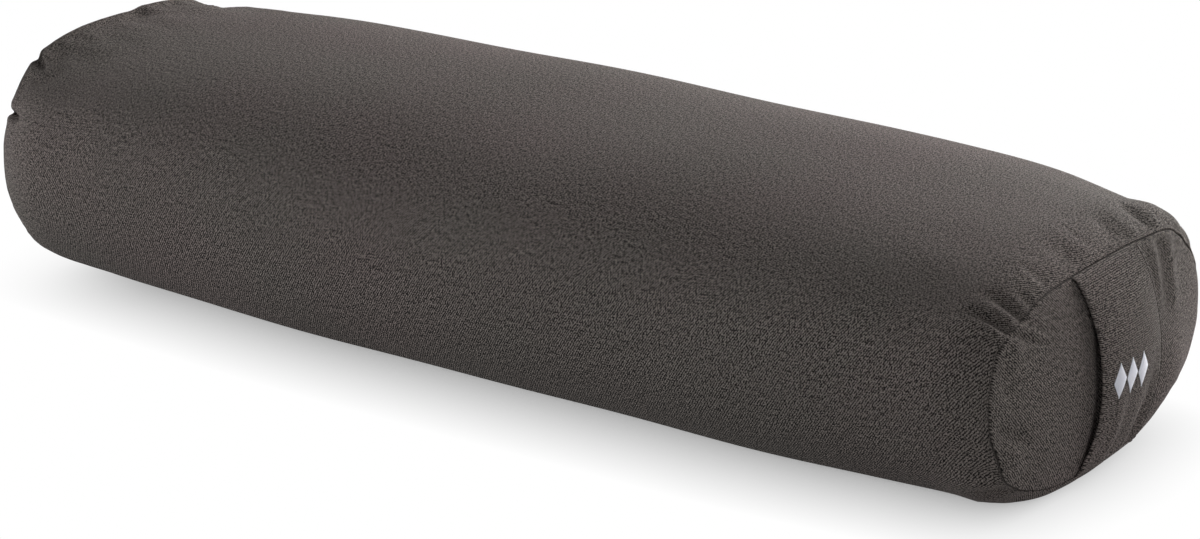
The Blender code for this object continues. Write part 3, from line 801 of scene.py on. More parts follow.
def makeGathers(setup, side):
    random = np.random.default_rng(setup["seed"] + side)
    folds = []
    jitter, drift = setup["jitter"], setup["drift"]
    for i in range(setup["count"]):
        degrees = (i + random.uniform(-jitter, jitter)) * 360 / setup["count"]
        height = setup["height"] * random.uniform(-1.0, 1.0)
        folds.append((
            degrees, random.uniform(-drift, drift), random.uniform(*setup["length"]),
            random.uniform(*setup["width"]), height,
        ))
    return folds


allFolds = {side: list(endFolds[side]) + makeGathers(gathers, side) for side in (1, -1)}


# How far the folds of one end lift the cloth, at these degrees round the seam and this
# distance from it along the cloth
def foldLift(side, degrees, distance):
    lift = np.zeros(np.broadcast(degrees, distance).shape)
    rise = mix(foldRise["atSeam"], 1, smoothstep(distance / foldRise["full"]))
    for place, drift, length, width, height in allFolds[side]:
        middle = place + drift * distance / length
        spread = width * (1 + foldRise["spread"] * distance / length)
        whole = foldRise["wholeShare"]
        run = 1 - rising(distance, length * whole, length * (1 - whole))
        lift = lift + height * rise * run * bump(turnBetween(degrees, middle), spread)
    return lift


def sumOfBumps(bumps, degrees):
    total = np.zeros(np.shape(degrees))
    for place, width, height in bumps:
        total = total + height * bump(turnBetween(degrees, place), width)
    return total


# The seam's stray at these degrees, evened out over a few of them
def strayAt(side, degrees):
    places, half = np.arange(360), strayEasing["half"]
    turns, offsets = np.array(seamStrays[side]).T
    offsets = np.interp(places, turns, offsets, period=360)
    window = bump(np.arange(-half, half + 1), strayEasing["width"])
    offsets = np.convolve(np.tile(offsets, 3), window / window.sum(), "same")[360:720]
    return np.interp(degrees, places, offsets, period=360)


def lumpLift(x, degrees):
    random = np.random.default_rng(lumps["seed"])
    lift = 0
    for i in range(lumps["waves"]):
        along = random.uniform(*lumps["lengthways"])
        turns = random.integers(*lumps["round"])
        phase = random.uniform(0, 1)
        lift = lift + np.sin(math.tau * (along * x + turns * degrees / 360 + phase))
    return lumps["height"] * lift / math.sqrt(lumps["waves"] / 2)


# The cloth lies still where it rests on the floor and where the zip is sewn in
def freeShare(points, angle):
    offFloor = smoothstep(points[..., 2] / freeFrom["floor"])
    return offFloor * rising(offZip(angle), zipFlat["halfAngle"], freeFrom["zip"])


# Cloth simulation of each end of the tube: the cloth near the seam has a little more
# stuff in it than the shape needs, most of it at the corners, and wrinkles as it
# settles. The seam itself and the body are held.

clothSim = {
    "columns": 288,
    "run": 0.14,
    "bodyStations": 36,
    "roundingStations": 16,
    "corners": (42, 138, 222, 318),   # degrees
    "cornerSpread": 18,
    "sideShare": 0.12,        # of the extra that the sides get
    "extra": 0.06,
    "extraRun": 0.045,
    "hold": 0.015,
    "heldFrom": 0.07,
    "heldFade": 0.06,
    "seamHold": 0.005,
    "bend": 6.0,
    "stretch": 15.0,
    "frames": 12,
    "start": 0.00015,
    "cap": 0.0028,
    "seed": 5,
}


def simulateEnd(end, setup):
    side = end["side"]
    angles = evenAngles(lambda a: tubePoints(0, a), 0, math.tau, setup["columns"] + 1)[:-1]
    bodyShare = 2 * (setup["run"] - end["rounding"]) / (bodyEnd - bodyStart)
    alongs = np.concatenate([
        np.linspace(1 - bodyShare, 1, setup["bodyStations"]),
        np.linspace(1, 2, setup["roundingStations"])[1:],
    ])
    base = np.stack([tubePoints(side * along, angles) for along in alongs])
    normals = gridNormals(base) * side
    distance, _ = seamDistances(base)
    degrees = np.degrees(angles)[None, :]
    random = np.random.default_rng(setup["seed"])
    lift = foldLift(side, degrees, distance) + random.normal(0, setup["start"], distance.shape)
    start = base + normals * (lift * freeShare(base, angles[None, :]))[..., None]
    rows, count = distance.shape
    faces = []
    for i in range(rows - 1):
        faces += joinRows(i * count, (i + 1) * count, count)
    cloth = makeMesh("simCloth", start.reshape(-1, 3), faces, twill)
    corner = np.zeros(degrees.shape)
    for middle in setup["corners"]:
        corner = np.maximum(corner, bump(turnBetween(degrees, middle), setup["cornerSpread"]))
    extra = smoothstep(1 - distance / setup["extraRun"]) * mix(setup["sideShare"], 1, corner)
    held = mix(setup["hold"], 1, rising(distance, setup["heldFrom"], setup["heldFade"]))
    held = np.maximum(held, smoothstep(1 - distance / setup["seamHold"]))
    for name, weights in (("extra", 1 - extra), ("held", held)):
        group = cloth.vertex_groups.new(name=name)
        for i, weight in enumerate(weights.ravel()):
            group.add([i], float(weight), "REPLACE")
    modifier = cloth.modifiers.new("Cloth", "CLOTH")
    settings = modifier.settings
    settings.tension_stiffness = settings.compression_stiffness = setup["stretch"]
    settings.bending_stiffness = setup["bend"]
    settings.effector_weights.gravity = 0
    settings.vertex_group_shrink = "extra"
    settings.shrink_min = -setup["extra"]
    settings.shrink_max = 0
    settings.vertex_group_mass = "held"
    modifier.point_cache.frame_end = setup["frames"]
    for number in range(1, setup["frames"] + 1):
        scene.frame_set(number)
    evaluated = cloth.evaluated_get(bpy.context.evaluated_depsgraph_get())
    settled = pointsOf(evaluated.data).reshape(start.shape)
    bpy.data.objects.remove(cloth)
    moved = ((settled - start) * normals).sum(-1)
    return alongs, np.degrees(angles), np.clip(moved, -setup["cap"], setup["cap"])


def readField(field, along, degrees):
    alongs, turns, values = field
    row = np.interp(along, alongs, np.arange(len(alongs)))
    turn = np.interp(degrees, np.append(turns, 360), np.arange(len(turns) + 1))
    i, j = np.minimum(row.astype(int), len(alongs) - 2), turn.astype(int)
    rowShare, turnShare = row - i, turn - j
    j, k = j % len(turns), (j + 1) % len(turns)
    return mix(
        mix(values[i, j], values[i, k], turnShare),
        mix(values[i + 1, j], values[i + 1, k], turnShare),
        rowShare,
    )


settledCloth = {}
for end in (handleEnd, farEnd):
    settledCloth[end["side"]] = simulateEnd(end, clothSim)
scene.frame_set(1)
for side, (_, _, moved) in settledCloth.items():
    print("cloth settled at end", side, "by up to", round(float(np.abs(moved).max()) * 1000, 2), "mm")


# The tube of each layer, as one cloth with turned edges at its end seams and round the
# zip's window

coverTube = {
    "columns": 440,
    "flatColumns": 8,         # on each side of the zip's window
    "runs": (28, 8, 46, 10, 28),
    "endRun": 0.060,
    "roundingStations": 22,
    "rollSteps": 4,
    "innerEvery": 6,
}
linerTube = {
    "columns": 180,
    "flatColumns": 4,
    "runs": (10, 4, 16, 4, 10),
    "endRun": 0.060,
    "roundingStations": 9,
    "rollSteps": 2,
    "innerEvery": 3,
}

# How far along the cloth the changes at the zip and at the end seams reach
tubeEasing = {"zipAngle": math.radians(20), "zipRun": 0.05, "pull": 0.010, "setIn": 0.045}
weaveSides = {"middles": (90, 180, 270, 360), "reach": 60, "fade": 30}    # degrees


def alongOf(x):
    return 2 * (x - bodyStart) / (bodyEnd - bodyStart) - 1


def tubeStations(setup):
    window, run = zipFlat["windowHalfLength"], setup["endRun"]
    breaks = [bodyStart, bodyStart + run, -window, window, bodyEnd - run, bodyEnd]
    x = np.concatenate([
        np.linspace(start, stop, steps, endpoint=False)
        for start, stop, steps in zip(breaks, breaks[1:], setup["runs"])
    ] + [[bodyEnd]])
    rounding = np.linspace(1, 2, setup["roundingStations"] + 1)[1:]
    return np.concatenate([-rounding[::-1], alongOf(x), rounding])


def tubeLift(stations, columns, base):
    degrees, angle = columnDegrees(columns)[None, :], np.radians(columnDegrees(columns))[None, :]
    near, far = seamDistances(base)
    along = np.broadcast_to(stations[:, None], near.shape)
    lift = lumpLift(base[..., 0], degrees) * smoothstep(np.minimum(near, far) / lumps["endFade"])
    for side, distance in ((1, near), (-1, far)):
        lift = lift + foldLift(side, degrees, distance)
        if side in settledCloth:
            settled = readField(settledCloth[side], along * side, np.broadcast_to(degrees, near.shape))
            lift = lift + settled * (along * side > 0)
    lift = lift * freeShare(base, angle)
    pastWindow = rising(np.abs(base[..., 0]), zipFlat["windowHalfLength"], longSeam["fade"])
    return lift - longSeam["depth"] * pastWindow * (np.arange(near.shape[1]) == columns["seam"])


# An end seam of a layer, once its folds, pulls and strays have moved it: its points, the
# ways from tube to panel and in between them, half of its gap, and what moves with it
def endSeam(end, surfaceAt, degrees, layer):
    side, step = end["side"], 1e-3
    point = surfaceAt(lambda a: panelPoints(end, 1, a))
    before = surfaceAt(lambda a: tubePoints(side * (2 - step), a))
    after = surfaceAt(lambda a: panelPoints(end, 1 - step, a))
    across = unit(unit(point - before) + unit(after - point))
    along = unit(np.roll(point, -1, 0) - np.roll(point, 1, 0))
    inward = unit(np.cross(across, along)) * side
    outward = unit(np.cross(along, np.array([1.0, 0, 0])))
    free = freeShare(point, np.radians(degrees))[:, None]
    opening = sumOfBumps(seamOpenings[side], degrees)[:, None] * free
    pull = sumOfBumps(seamPulls[side], degrees)[:, None] * free
    stray = strayAt(side, degrees)[:, None] * free * outward
    lift = foldLift(side, degrees, 0)[:, None] * free
    return {
        "point": point - inward * lift - across * pull + stray + inward * layer["seamDepth"],
        "across": across, "inward": inward, "stray": stray, "pull": across * (pull + opening),
        "half": layer["seamGap"] / 2 + opening * layer["opens"],
    }


# The same at plain angles round the end
def seamAt(end, angles, layer):
    return endSeam(end, lambda surface: surface(angles), np.degrees(angles) % 360, layer)


edgeFold = {"gapShare": 0.15, "innerWalls": 1.4}


# Rows over a turned edge, from the skin to the end of its allowance, then the inner
# face's two rows. Way is -1 for the tube's edge and 1 for the panel's.
def turnedEdge(seam, way, steps, layer):
    point, across, inward, half = seam["point"], seam["across"], seam["inward"], seam["half"]
    roll, wall = layer["seamRoll"], layer["wall"]
    centre = point + across * way * (half + roll) + inward * roll
    outer = []
    for step in range(steps + 1):
        turn = math.pi / 2 * step / steps
        outer.append(centre - inward * roll * math.cos(turn) - across * way * roll * math.sin(turn))
    outer.append(point + across * way * half * edgeFold["gapShare"] + inward * layer["allowance"])
    inside = point + across * way * (half + wall)
    inner = [inside + inward * layer["allowance"], inside + inward * wall * edgeFold["innerWalls"]]
    return outer, inner


# The skin of a layer's tube, with its seams by the side they are on
def tubeSkin(stations, columns, layer):
    degrees = columnDegrees(columns)
    angle = np.radians(degrees)[None, :]
    base = np.stack([atColumns(lambda a: tubePoints(s, a), columns) for s in stations])
    normals = gridNormals(base)
    near, far = seamDistances(base)
    onZip = 1 - rising(offZip(angle), zipFlat["halfAngle"], tubeEasing["zipAngle"])
    onZip = onZip * (1 - rising(np.abs(base[..., 0]), zipFlat["straightHalf"], tubeEasing["zipRun"]))
    depth = mix(layer["depth"], layer["zipDepth"], onZip)[..., None]
    skin = base + normals * (tubeLift(stations, columns, base)[..., None] - depth)
    seams = {}
    for end, distance in ((farEnd, far), (handleEnd, near)):
        seam = endSeam(end, lambda surface: atColumns(surface, columns), degrees, layer)
        setIn = seam["inward"] * layer["seamDepth"] + normals * depth
        for change, reach in (
            (-seam["pull"], tubeEasing["pull"]),
            (seam["stray"], strayReach["tube"]),
            (setIn, tubeEasing["setIn"]),
        ):
            skin = skin + change * smoothstep(1 - distance / reach)[..., None]
        seams[end["side"]] = seam
    skin[..., 2] = np.maximum(skin[..., 2], layer["depth"])
    return base, normals, skin, seams


# The weave's coordinates on the tube: the length along it, and the length round it from
# the nearest of the middles of its four sides, so that it is drawn together only at
# the corners. Past the long seam, the length round it starts again.
def tubeWeave(base, columns):
    _, length = seamDistances(base)
    row = len(base) // 2
    ring = np.stack([runningLength(np.append(loop, loop[:1], 0)) for loop in base])
    whole, ring = ring[:, -1:], ring[:, :-1]
    degrees = columnDegrees(columns)
    around, weights = 0, 0
    for middle in weaveSides["middles"]:
        off = turnBetween(degrees, middle)
        j = int(np.argmin(np.abs(off)))
        apart = ring - ring[:, j:j + 1]
        place = ring[row, j] + apart - whole * np.round(apart / whole)
        place = place - whole[row] * np.round((place - ring[row]) / whole[row])
        weight = smoothstep((weaveSides["reach"] - np.abs(off)) / weaveSides["fade"])
        around, weights = around + weight * place, weights + weight
    around = around / weights
    around[:, columns["seam"] + 1:] -= whole[row]
    return length - length[row], around, float(whole[row, 0])


def makeTube(name, setup, layer, material):
    columns = tubeColumns(setup["columns"], setup["flatColumns"])
    stations = tubeStations(setup)
    base, normals, skin, seams = tubeSkin(stations, columns, layer)
    inner = skin - normals * layer["wall"]
    count, last = skin.shape[1], len(stations) - 1
    openFrom, openTo = (
        int(np.argmin(np.abs(stations - alongOf(x))))
        for x in (-zipFlat["windowHalfLength"], zipFlat["windowHalfLength"])
    )
    kept = sorted(set(range(2, last - 1, setup["innerEvery"])) | {openFrom, openTo})
    farOuter, farInner = turnedEdge(seams[-1], -1, setup["rollSteps"], layer)
    nearOuter, nearInner = turnedEdge(seams[1], -1, setup["rollSteps"], layer)
    outerRows = farOuter[::-1] + list(skin[1:-1]) + nearOuter
    innerRows = farInner + [inner[i] for i in kept] + nearInner[::-1]
    shift, first = len(farOuter) - 1, len(outerRows)
    arcs = np.linspace(0, layer["seamRoll"] * math.pi / 2, setup["rollSteps"] + 1)
    arcs = np.append(arcs, arcs[-1] + layer["allowance"])
    places = [(0, -arc) for arc in arcs[::-1]] + [(i, 0) for i in range(1, last)]
    places += [(last, arc) for arc in arcs]
    places += [(0, 0)] * 2 + [(i, 0) for i in kept] + [(last, 0)] * 2
    length, around, whole = tubeWeave(base, columns)
    uv = np.concatenate([np.stack([length[i] + arc, around[i]], -1) for i, arc in places])
    openColumns = range(columns["lowerEdge"], columns["upperEdge"])
    faces = []
    for i in range(first - 1):
        skip = openColumns if shift + openFrom <= i < shift + openTo else ()
        faces += joinRows(i * count, (i + 1) * count, count, skip)
    innerOpen = [2 + kept.index(i) for i in (openFrom, openTo)]
    for i in range(len(innerRows) - 1):
        skip = openColumns if innerOpen[0] <= i < innerOpen[1] else ()
        faces += joinRows((first + i + 1) * count, (first + i) * count, count, skip)
    faces += joinRows((first - 1) * count, (first + len(innerRows) - 1) * count, count)
    faces += joinRows(first * count, 0, count)
    points, uv = addHem(np.concatenate(outerRows + innerRows), uv, faces, {
        "at": {i: (shift + i) * count for i in range(openFrom, openTo + 1)},
        "inside": {i: (first + 2 + kept.index(i)) * count for i in kept if openFrom <= i <= openTo},
        "edges": (columns["lowerEdge"], columns["upperEdge"]), "normals": normals,
        "radius": layer["wall"] / 2,
    })
    piece = makeMesh(name, points, faces, material, uv, whole, closed=True)
    reshape(piece.data, dropLoose)
    return piece


# The cloth's edges along the zip's window, turned under. Grid tells where its rows start
# in the list of points, on the skin and inside.
def addHem(points, uv, faces, grid):
    at, inside, radius = grid["at"], grid["inside"], grid["radius"]
    lower, upper = grid["edges"]
    openFrom, openTo = min(at), max(at)
    added, sources, arcs = [], [], {}
    moved = np.array(points)
    for column, other in ((lower, upper), (upper, lower)):
        for i in range(openFrom, openTo + 1):
            edge = at[i] + column
            away = unit(points[edge] - points[at[i] + other])
            outward = grid["normals"][i, column]
            centre = points[edge] + away * radius - outward * radius
            arcs[column, i] = [edge]
            for turn in (math.pi / 4, math.pi / 2, math.pi * 3 / 4):
                arcs[column, i].append(len(points) + len(added))
                added.append(centre + outward * radius * math.cos(turn) - away * radius * math.sin(turn))
                sources.append(edge)
            moved[edge] += away * radius
            if i in inside:
                moved[inside[i] + column] += away * radius
        for i in range(openFrom, openTo):
            a, b = arcs[column, i], arcs[column, i + 1]
            faces.extend((a[k], b[k], b[k + 1], a[k + 1]) for k in range(3))
        span = sorted(inside)
        for start, stop in zip(span, span[1:]):
            chain = [arcs[column, i][3] for i in range(start, stop + 1)]
            faces.append(chain + [inside[stop] + column, inside[start] + column])
    for i in (openFrom, openTo):
        across = [at[i] + column for column in range(lower + 1, upper)]
        back = [inside[i] + column for column in range(lower, upper + 1)]
        faces.append(arcs[lower, i][::-1] + across + arcs[upper, i] + back[::-1])
    return np.concatenate([moved, added]), np.concatenate([uv, uv[sources]])


tube = makeTube("tubeCloth", coverTube, coverLayer, twill)
settle(tube, "cover_twill", "cover_body", fill=0.85)
print("tube made:", len(tube.data.polygons), "faces")


# The end panels: a dome, its bulges and its creases. A bulge is its y, z, half widths
# and height; a crease runs between two points of y and z, with a half width and height.
# The one under the strap is hidden by it, and the strap doesn't follow it.

panelForms = {
    "cells": 100,
    "rollSteps": 4,
    "firstShare": 0.97,
    "creaseTaper": 2.2,
    "rimShare": 0.1,          # along which bulges and creases fade out to the seam
    "weaveTurn": -9,          # degrees
    "bulges": {
        1: ((0.066, 0.044, 0.026, 0.026, 0.0040),),
        -1: ((-0.030, 0.060, 0.040, 0.030, 0.0015), (0.050, 0.095, 0.030, 0.026, -0.0012)),
    },
    "creases": {
        1: (
            (-0.0887, 0.1064, -0.0830, 0.0880, 0.0046, 0.0016),
            (-0.0800, 0.1120, -0.0740, 0.0940, 0.0042, -0.0013),
            (-0.0960, 0.0900, -0.0900, 0.0740, 0.0050, -0.0012),
            (-0.0990, 0.0585, -0.0740, 0.0469, 0.0055, -0.0022),
            (-0.0960, 0.0450, -0.0780, 0.0380, 0.0060, 0.0014),
            (-0.0780, 0.0240, -0.0600, 0.0400, 0.0060, -0.0010),
            (0.0480, 0.1200, 0.0490, 0.0800, 0.0040, 0.0014),
            (0.0560, 0.1180, 0.0570, 0.0760, 0.0045, -0.0012),
            (0.0660, 0.1130, 0.0690, 0.0700, 0.0045, 0.0012),
            (-0.0400, 0.0125, -0.0120, 0.0110, 0.0050, 0.0012),
        ),
        -1: (
            (-0.0800, 0.1180, -0.0600, 0.0950, 0.0050, -0.0014),
            (0.0780, 0.1150, 0.0560, 0.0940, 0.0050, -0.0014),
            (0.0850, 0.1050, 0.0600, 0.0850, 0.0050, 0.0012),
            (-0.0900, 0.0450, -0.0700, 0.0560, 0.0050, -0.0012),
            (0.0800, 0.0300, 0.0600, 0.0480, 0.0050, 0.0012),
        ),
    },
    "underStrap": {
        1: ((-0.0110, 0.0260, -0.0180, 0.1180, 0.0045, -0.0024),),
        -1: (),
    },
}
linerForms = dict(panelForms, cells=44, rollSteps=2)


def segmentDistance(y, z, y0, z0, y1, z1):
    length = (y1 - y0) ** 2 + (z1 - z0) ** 2
    share = np.clip(((y - y0) * (y1 - y0) + (z - z0) * (z1 - z0)) / length, 0, 1)
    return np.hypot(y - mix(y0, y1, share), z - mix(z0, z1, share)), share


def creaseLift(creases, y, z):
    lift = 0
    for y0, z0, y1, z1, width, height in creases:
        distance, share = segmentDistance(y, z, y0, z0, y1, z1)
        lift = lift + height * bump(distance, width) * smoothstep(panelForms["creaseTaper"] * (1 - share))
    return lift


def panelLift(side, y, z):
    lift = creaseLift(panelForms["creases"][side], y, z)
    for y0, z0, wide, high, height in panelForms["bulges"][side]:
        lift = lift + height * bump(np.hypot((y - y0) / wide, (z - z0) / high), 1)
    return lift


# The panel's x over a place, from its share of the way from middle to seam and its lift
def panelX(end, y, z):
    roundness = coverShape["seamRoundness"]
    across = np.abs(y / end["halfWidth"]) ** roundness
    upwards = np.abs((z - end["height"]) / end["halfHeight"]) ** roundness
    share = (across + upwards) ** (1 / roundness)
    dome = end["dome"] * (1 - np.minimum(share, 1) ** coverShape["domePower"])
    lift = panelLift(end["side"], y, z) * smoothstep((1 - share) / panelForms["rimShare"])
    return end["seamX"] + end["side"] * (dome + lift)


# The points of a square of cells that lie on its ring of m cells a side
def squareRing(m):
    if m == 0:
        return [(0, 0)]
    return (
        [(m, i) for i in range(m)] + [(m - i, m) for i in range(m)]
        + [(0, m - i) for i in range(m)] + [(i, 0) for i in range(m)]
    )


# Angles all round a ring, each in line with the seam's even ones. A ring starts at its
# corner, an eighth of a turn before the first angle.
def ringAngles(end, cells, m):
    even = evenAngles(lambda a: panelPoints(end, 1, a), 0, math.tau, 4 * cells + 1)[:-1]
    turn = (np.arange(4 * m) / (4 * m) - 1 / 8) % 1.0
    return np.interp(turn * len(even), np.arange(len(even) + 1), np.append(even, even[0] + math.tau))


# One skin of a panel, as a grid of cells drawn to the seam's outline. Its rim's points
# are there already, from the index rim; its others are added to the list.
def addPanelSkin(end, cells, rim, layer, wall, points, faces):
    side, hidden = end["side"], panelForms["underStrap"][end["side"]]
    angles = ringAngles(end, cells, cells)
    shift = seamAt(end, angles, layer)["point"] - panelPoints(end, 1, angles)
    order = np.argsort(angles)
    index = {position: rim + i for i, position in enumerate(squareRing(cells))}
    for r in range(1, cells // 2 + 1):
        m = cells - 2 * r
        share = panelForms["firstShare"] * m / cells
        ring = ringAngles(end, cells, m) if m else np.zeros(1)
        made = panelPoints(end, share, ring)
        made[:, 0] = panelX(end, made[:, 1], made[:, 2]) - side * (layer["depth"] + wall)
        made[:, 0] += side * creaseLift(hidden, made[:, 1], made[:, 2])
        moved = pointsBetween(ring, angles[order], shift[order], period=math.tau)
        made += moved * smoothstep(1 - (1 - share) * end["halfHeight"] / strayReach["panel"])
        for position, point in zip(squareRing(m), made):
            index[position[0] + r, position[1] + r] = len(points)
            points.append(point)
    for i in range(cells):
        for j in range(cells):
            faces.append((index[i, j], index[i + 1, j], index[i + 1, j + 1], index[i, j + 1]))


def makePanel(name, end, setup, layer, material):
    cells = setup["cells"]
    seam = seamAt(end, ringAngles(end, cells, cells), layer)
    outerEdge, innerEdge = turnedEdge(seam, 1, setup["rollSteps"], layer)
    points, faces, rims = [], [], []
    for wall, edge in ((0, outerEdge[0]), (layer["wall"], innerEdge[1])):
        rims.append(len(points))
        points += list(edge)
        addPanelSkin(end, cells, rims[-1], layer, wall, points, faces)
    rows = [rims[0]]
    for row in outerEdge[1:] + innerEdge[:1]:
        rows.append(len(points))
        points += list(row)
    rows.append(rims[1])
    for first, second in zip(rows, rows[1:]):
        faces += joinRows(first, second, 4 * cells)
    points = np.array(points)
    uv = turned(points[:, 1:], setup["weaveTurn"])
    return makeMesh(name, points, faces, material, uv, closed=True)


for name, end, node in (
    ("handleEndPanel", handleEnd, "cover_handle_end"), ("farEndPanel", farEnd, "cover_far_end"),
):
    settle(makePanel(name, end, panelForms, coverLayer, twill), "cover_twill", node, fill=0.8)
print("end panels made")


# The inner cushion: a cotton liner, which follows the cover, and its loose filling

fillingForm = {
    "cells": 40,
    "runs": (8, 3, 12, 3, 8),
    "endRun": 0.060,
    "roundingStations": 6,
    "clumpDepth": 0.0008,
    "clumpSize": 0.012,
    "heart": (0.28, 0.0, 0.075),    # the line that its clumps sink towards: half its length, y and z
}


def makeFilling(setup, layer, material):
    cells = setup["cells"]
    count, angles = 4 * cells, ringAngles(handleEnd, cells, cells)
    _, _, skin, seams = tubeSkin(tubeStations(setup), columnsAt(angles), layer)
    rows = [seams[-1]["point"], *skin[1:-1], seams[1]["point"]]
    points, faces = list(np.concatenate(rows)), []
    for i in range(len(rows) - 1):
        faces += joinRows(i * count, (i + 1) * count, count)
    addPanelSkin(farEnd, cells, 0, layer, 0, points, faces)
    addPanelSkin(handleEnd, cells, (len(rows) - 1) * count, layer, 0, points, faces)
    points = np.array(points)
    reach, y, z = setup["heart"]
    x = np.clip(points[:, 0], -reach, reach)
    heart = np.stack([x, np.full(len(x), y), np.full(len(x), z)], -1)
    clump = np.array([0.5 + 0.5 * noise.noise(Vector(point) / setup["clumpSize"]) for point in points])
    points += unit(heart - points) * (setup["clumpDepth"] * clump)[:, None]
    return makeMesh("cottonFilling", points, faces, material, closed=True)


settle(makeTube("linerTube", linerTube, linerLayer, linerCotton), "liner_cotton", "liner_body", fill=0.85)
for name, end, node in (
    ("linerHandleEnd", handleEnd, "liner_handle_end"), ("linerFarEnd", farEnd, "liner_far_end"),
):
    settle(makePanel(name, end, linerForms, linerLayer, linerCotton), "liner_cotton", node, fill=0.8)
settle(makeFilling(fillingForm, fillingLayer, fillingCotton), "filling_cotton", "filling", fill=0.9)
print("liner and filling made")


# The carry handle: a folded strap that stands off the panel and curls back to it at its
# edges. Its folds run lengthways: each is its place across as a share of the half
# width, its half width in that share, and its height at the lower end.

strap = {
    "halfWidth": 0.0325,
    "narrowing": 0.0022,      # of its left half at mid height
    "footNarrowing": 0.0080,  # of its right half
    "pressed": 0.85,          # how flat its right half lies low down
    "thickness": 0.0024,
    "endThickness": 0.0012,
    "bow": 0.0058,
    "curl": (0.45, 0.65),     # at its left edge and its right edge
    "curlPower": 2.5,
    "clear": 0.0003,
    "topOffset": 0.0022,
    "lowOffset": 0.0120,
    "lean": 1.25,
    "thickens": 1.7,
    "landing": 0.25,
    "seamInset": 0.0004,
    "tuck": 0.0030,
    "tuckDrop": 0.6,          # of the tuck
    "endPress": 0.3,          # what is left of its thickness there
    "footNarrows": (0.45, 0.50),    # where on its run it starts, and over how much
    "foldsRise": (0.42, 0.35),
    "pressedFrom": (0.45, 0.35),
    "pressedAcross": (-0.3, 1.0),
    "slopeSteps": (0.005, 0.02),
    "rows": 72,
    "acrossSteps": 34,
    "edgeSteps": 6,
    "weaveTurn": -56,         # degrees
    "folds": ((-0.52, 0.13, 0.0014), (-0.24, 0.15, -0.0010), (0.20, 0.16, 0.0010), (0.62, 0.13, -0.0018),
              (0.90, 0.10, 0.0006)),
}


halfSeamSteps = 720
seamAngles = np.linspace(0, math.tau, 2 * halfSeamSteps + 1)


# The heights of the handle end's seam over a y: its top and its bottom
def makeSeamHeights():
    seam = seamAt(handleEnd, seamAngles, coverLayer)["point"]
    halves = []
    for half in (seam[:halfSeamSteps + 1], seam[halfSeamSteps:]):
        order = np.argsort(half[:, 1])
        halves.append((half[order, 1], half[order, 2]))
    return halves


seamHeights = makeSeamHeights()


def seamSpan(y):
    return [np.interp(y, *half) for half in seamHeights]


# The strap's middle and half width at a run, on this side of it
def strapSpan(run, across):
    narrowing = strap["narrowing"] * np.sin(math.pi * run) ** 2
    footNarrowing = strap["footNarrowing"] * rising(run, *strap["footNarrows"])
    halfWidth = strap["halfWidth"] - np.where(across < 0, narrowing, footNarrowing)
    return mix(strap["topOffset"], strap["lowOffset"], smoothstep(run * strap["lean"])), halfWidth


# The strap's outer or inner face: run is 0 at its top and 1 at its foot, across is -1 to
# 1, and depth is 0 on the inner face and 1 on the outer
def strapPoints(run, across, depth):
    run, across, depth = np.broadcast_arrays(*(np.asarray(value, float) for value in (run, across, depth)))
    middle, halfWidth = strapSpan(run, across)
    y = middle + halfWidth * across
    top, low = seamSpan(y)
    z = mix(low + strap["seamInset"], top - strap["seamInset"], 0.5 + 0.5 * np.cos(math.pi * run))
    arch = np.sin(math.pi * run)
    whole = smoothstep(strap["thickens"] * arch)
    curl = 1 - np.where(across < 0, *strap["curl"]) * np.abs(across) ** strap["curlPower"]
    folds = sum(height * bump(across - place, width) for place, width, height in strap["folds"])
    folds = folds * rising(run, *strap["foldsRise"]) * whole
    onPanel = mix(handleEnd["seamX"], panelX(handleEnd, y, z), smoothstep(arch / strap["landing"]))
    pressed = strap["pressed"] * rising(run, *strap["pressedFrom"])
    pressed = pressed * rising(across, *strap["pressedAcross"])
    x = onPanel + strap["clear"] + strap["bow"] * arch ** 2 * curl * (1 - pressed) + folds
    return np.stack([x + mix(strap["endThickness"], strap["thickness"], whole) * depth, y, z], -1)


# The ways out of the strap's outer face and across it
def strapWays(run, across):
    step, sideStep = strap["slopeSteps"]
    down = strapPoints(run + step, across, 1) - strapPoints(run - step, across, 1)
    sideways = strapPoints(run, across + sideStep, 1) - strapPoints(run, across - sideStep, 1)
    return unit(np.cross(down, sideways)), unit(sideways)


def makeStrap(setup, material):
    rows, steps, cornerSteps = setup["rows"], setup["acrossSteps"], setup["edgeSteps"]
    inset = setup["thickness"] / 2 / setup["halfWidth"]
    flat = np.linspace(-1, 1, steps + 1) * (1 - inset)
    turn = np.linspace(0, math.pi, cornerSteps + 1)[1:-1]
    bulge = 1 - inset + inset * np.sin(turn)
    across = np.concatenate([flat, bulge, flat[::-1], -bulge])
    depth = np.concatenate([
        np.ones(steps + 1), 0.5 + 0.5 * np.cos(turn), np.zeros(steps + 1), 0.5 - 0.5 * np.cos(turn),
    ])
    grid = [strapPoints(run, across, depth) for run in np.linspace(0, 1, rows + 1)]
    ends = []
    for row, way in ((grid[0], 1), (grid[-1], -1)):
        squeezed = row.copy()
        squeezed[:, 0] = handleEnd["seamX"] + (row[:, 0] - row[:, 0].min()) * setup["endPress"]
        squeezed[:, 2] += way * setup["seamInset"]
        tucked = squeezed - [setup["tuck"], 0, way * setup["tuck"] * setup["tuckDrop"]]
        ends.append([tucked, squeezed])
    grid = ends[0] + grid + ends[1][::-1]
    points, count = np.concatenate(grid), len(across)
    faces = [tuple(range(count)), tuple((len(grid) - 1) * count + i for i in range(count))]
    for i in range(len(grid) - 1):
        faces += joinRows(i * count, (i + 1) * count, count)
    length = runningLength(np.array(grid)[:, steps // 2])
    uv = np.stack([points[:, 1], np.repeat(-length, count)], -1)
    return makeMesh("carryHandle", points, faces, material, turned(uv, setup["weaveTurn"]), closed=True)


settle(makeStrap(strap, twill), "handle_twill", "carry_handle")
print("carry handle made")


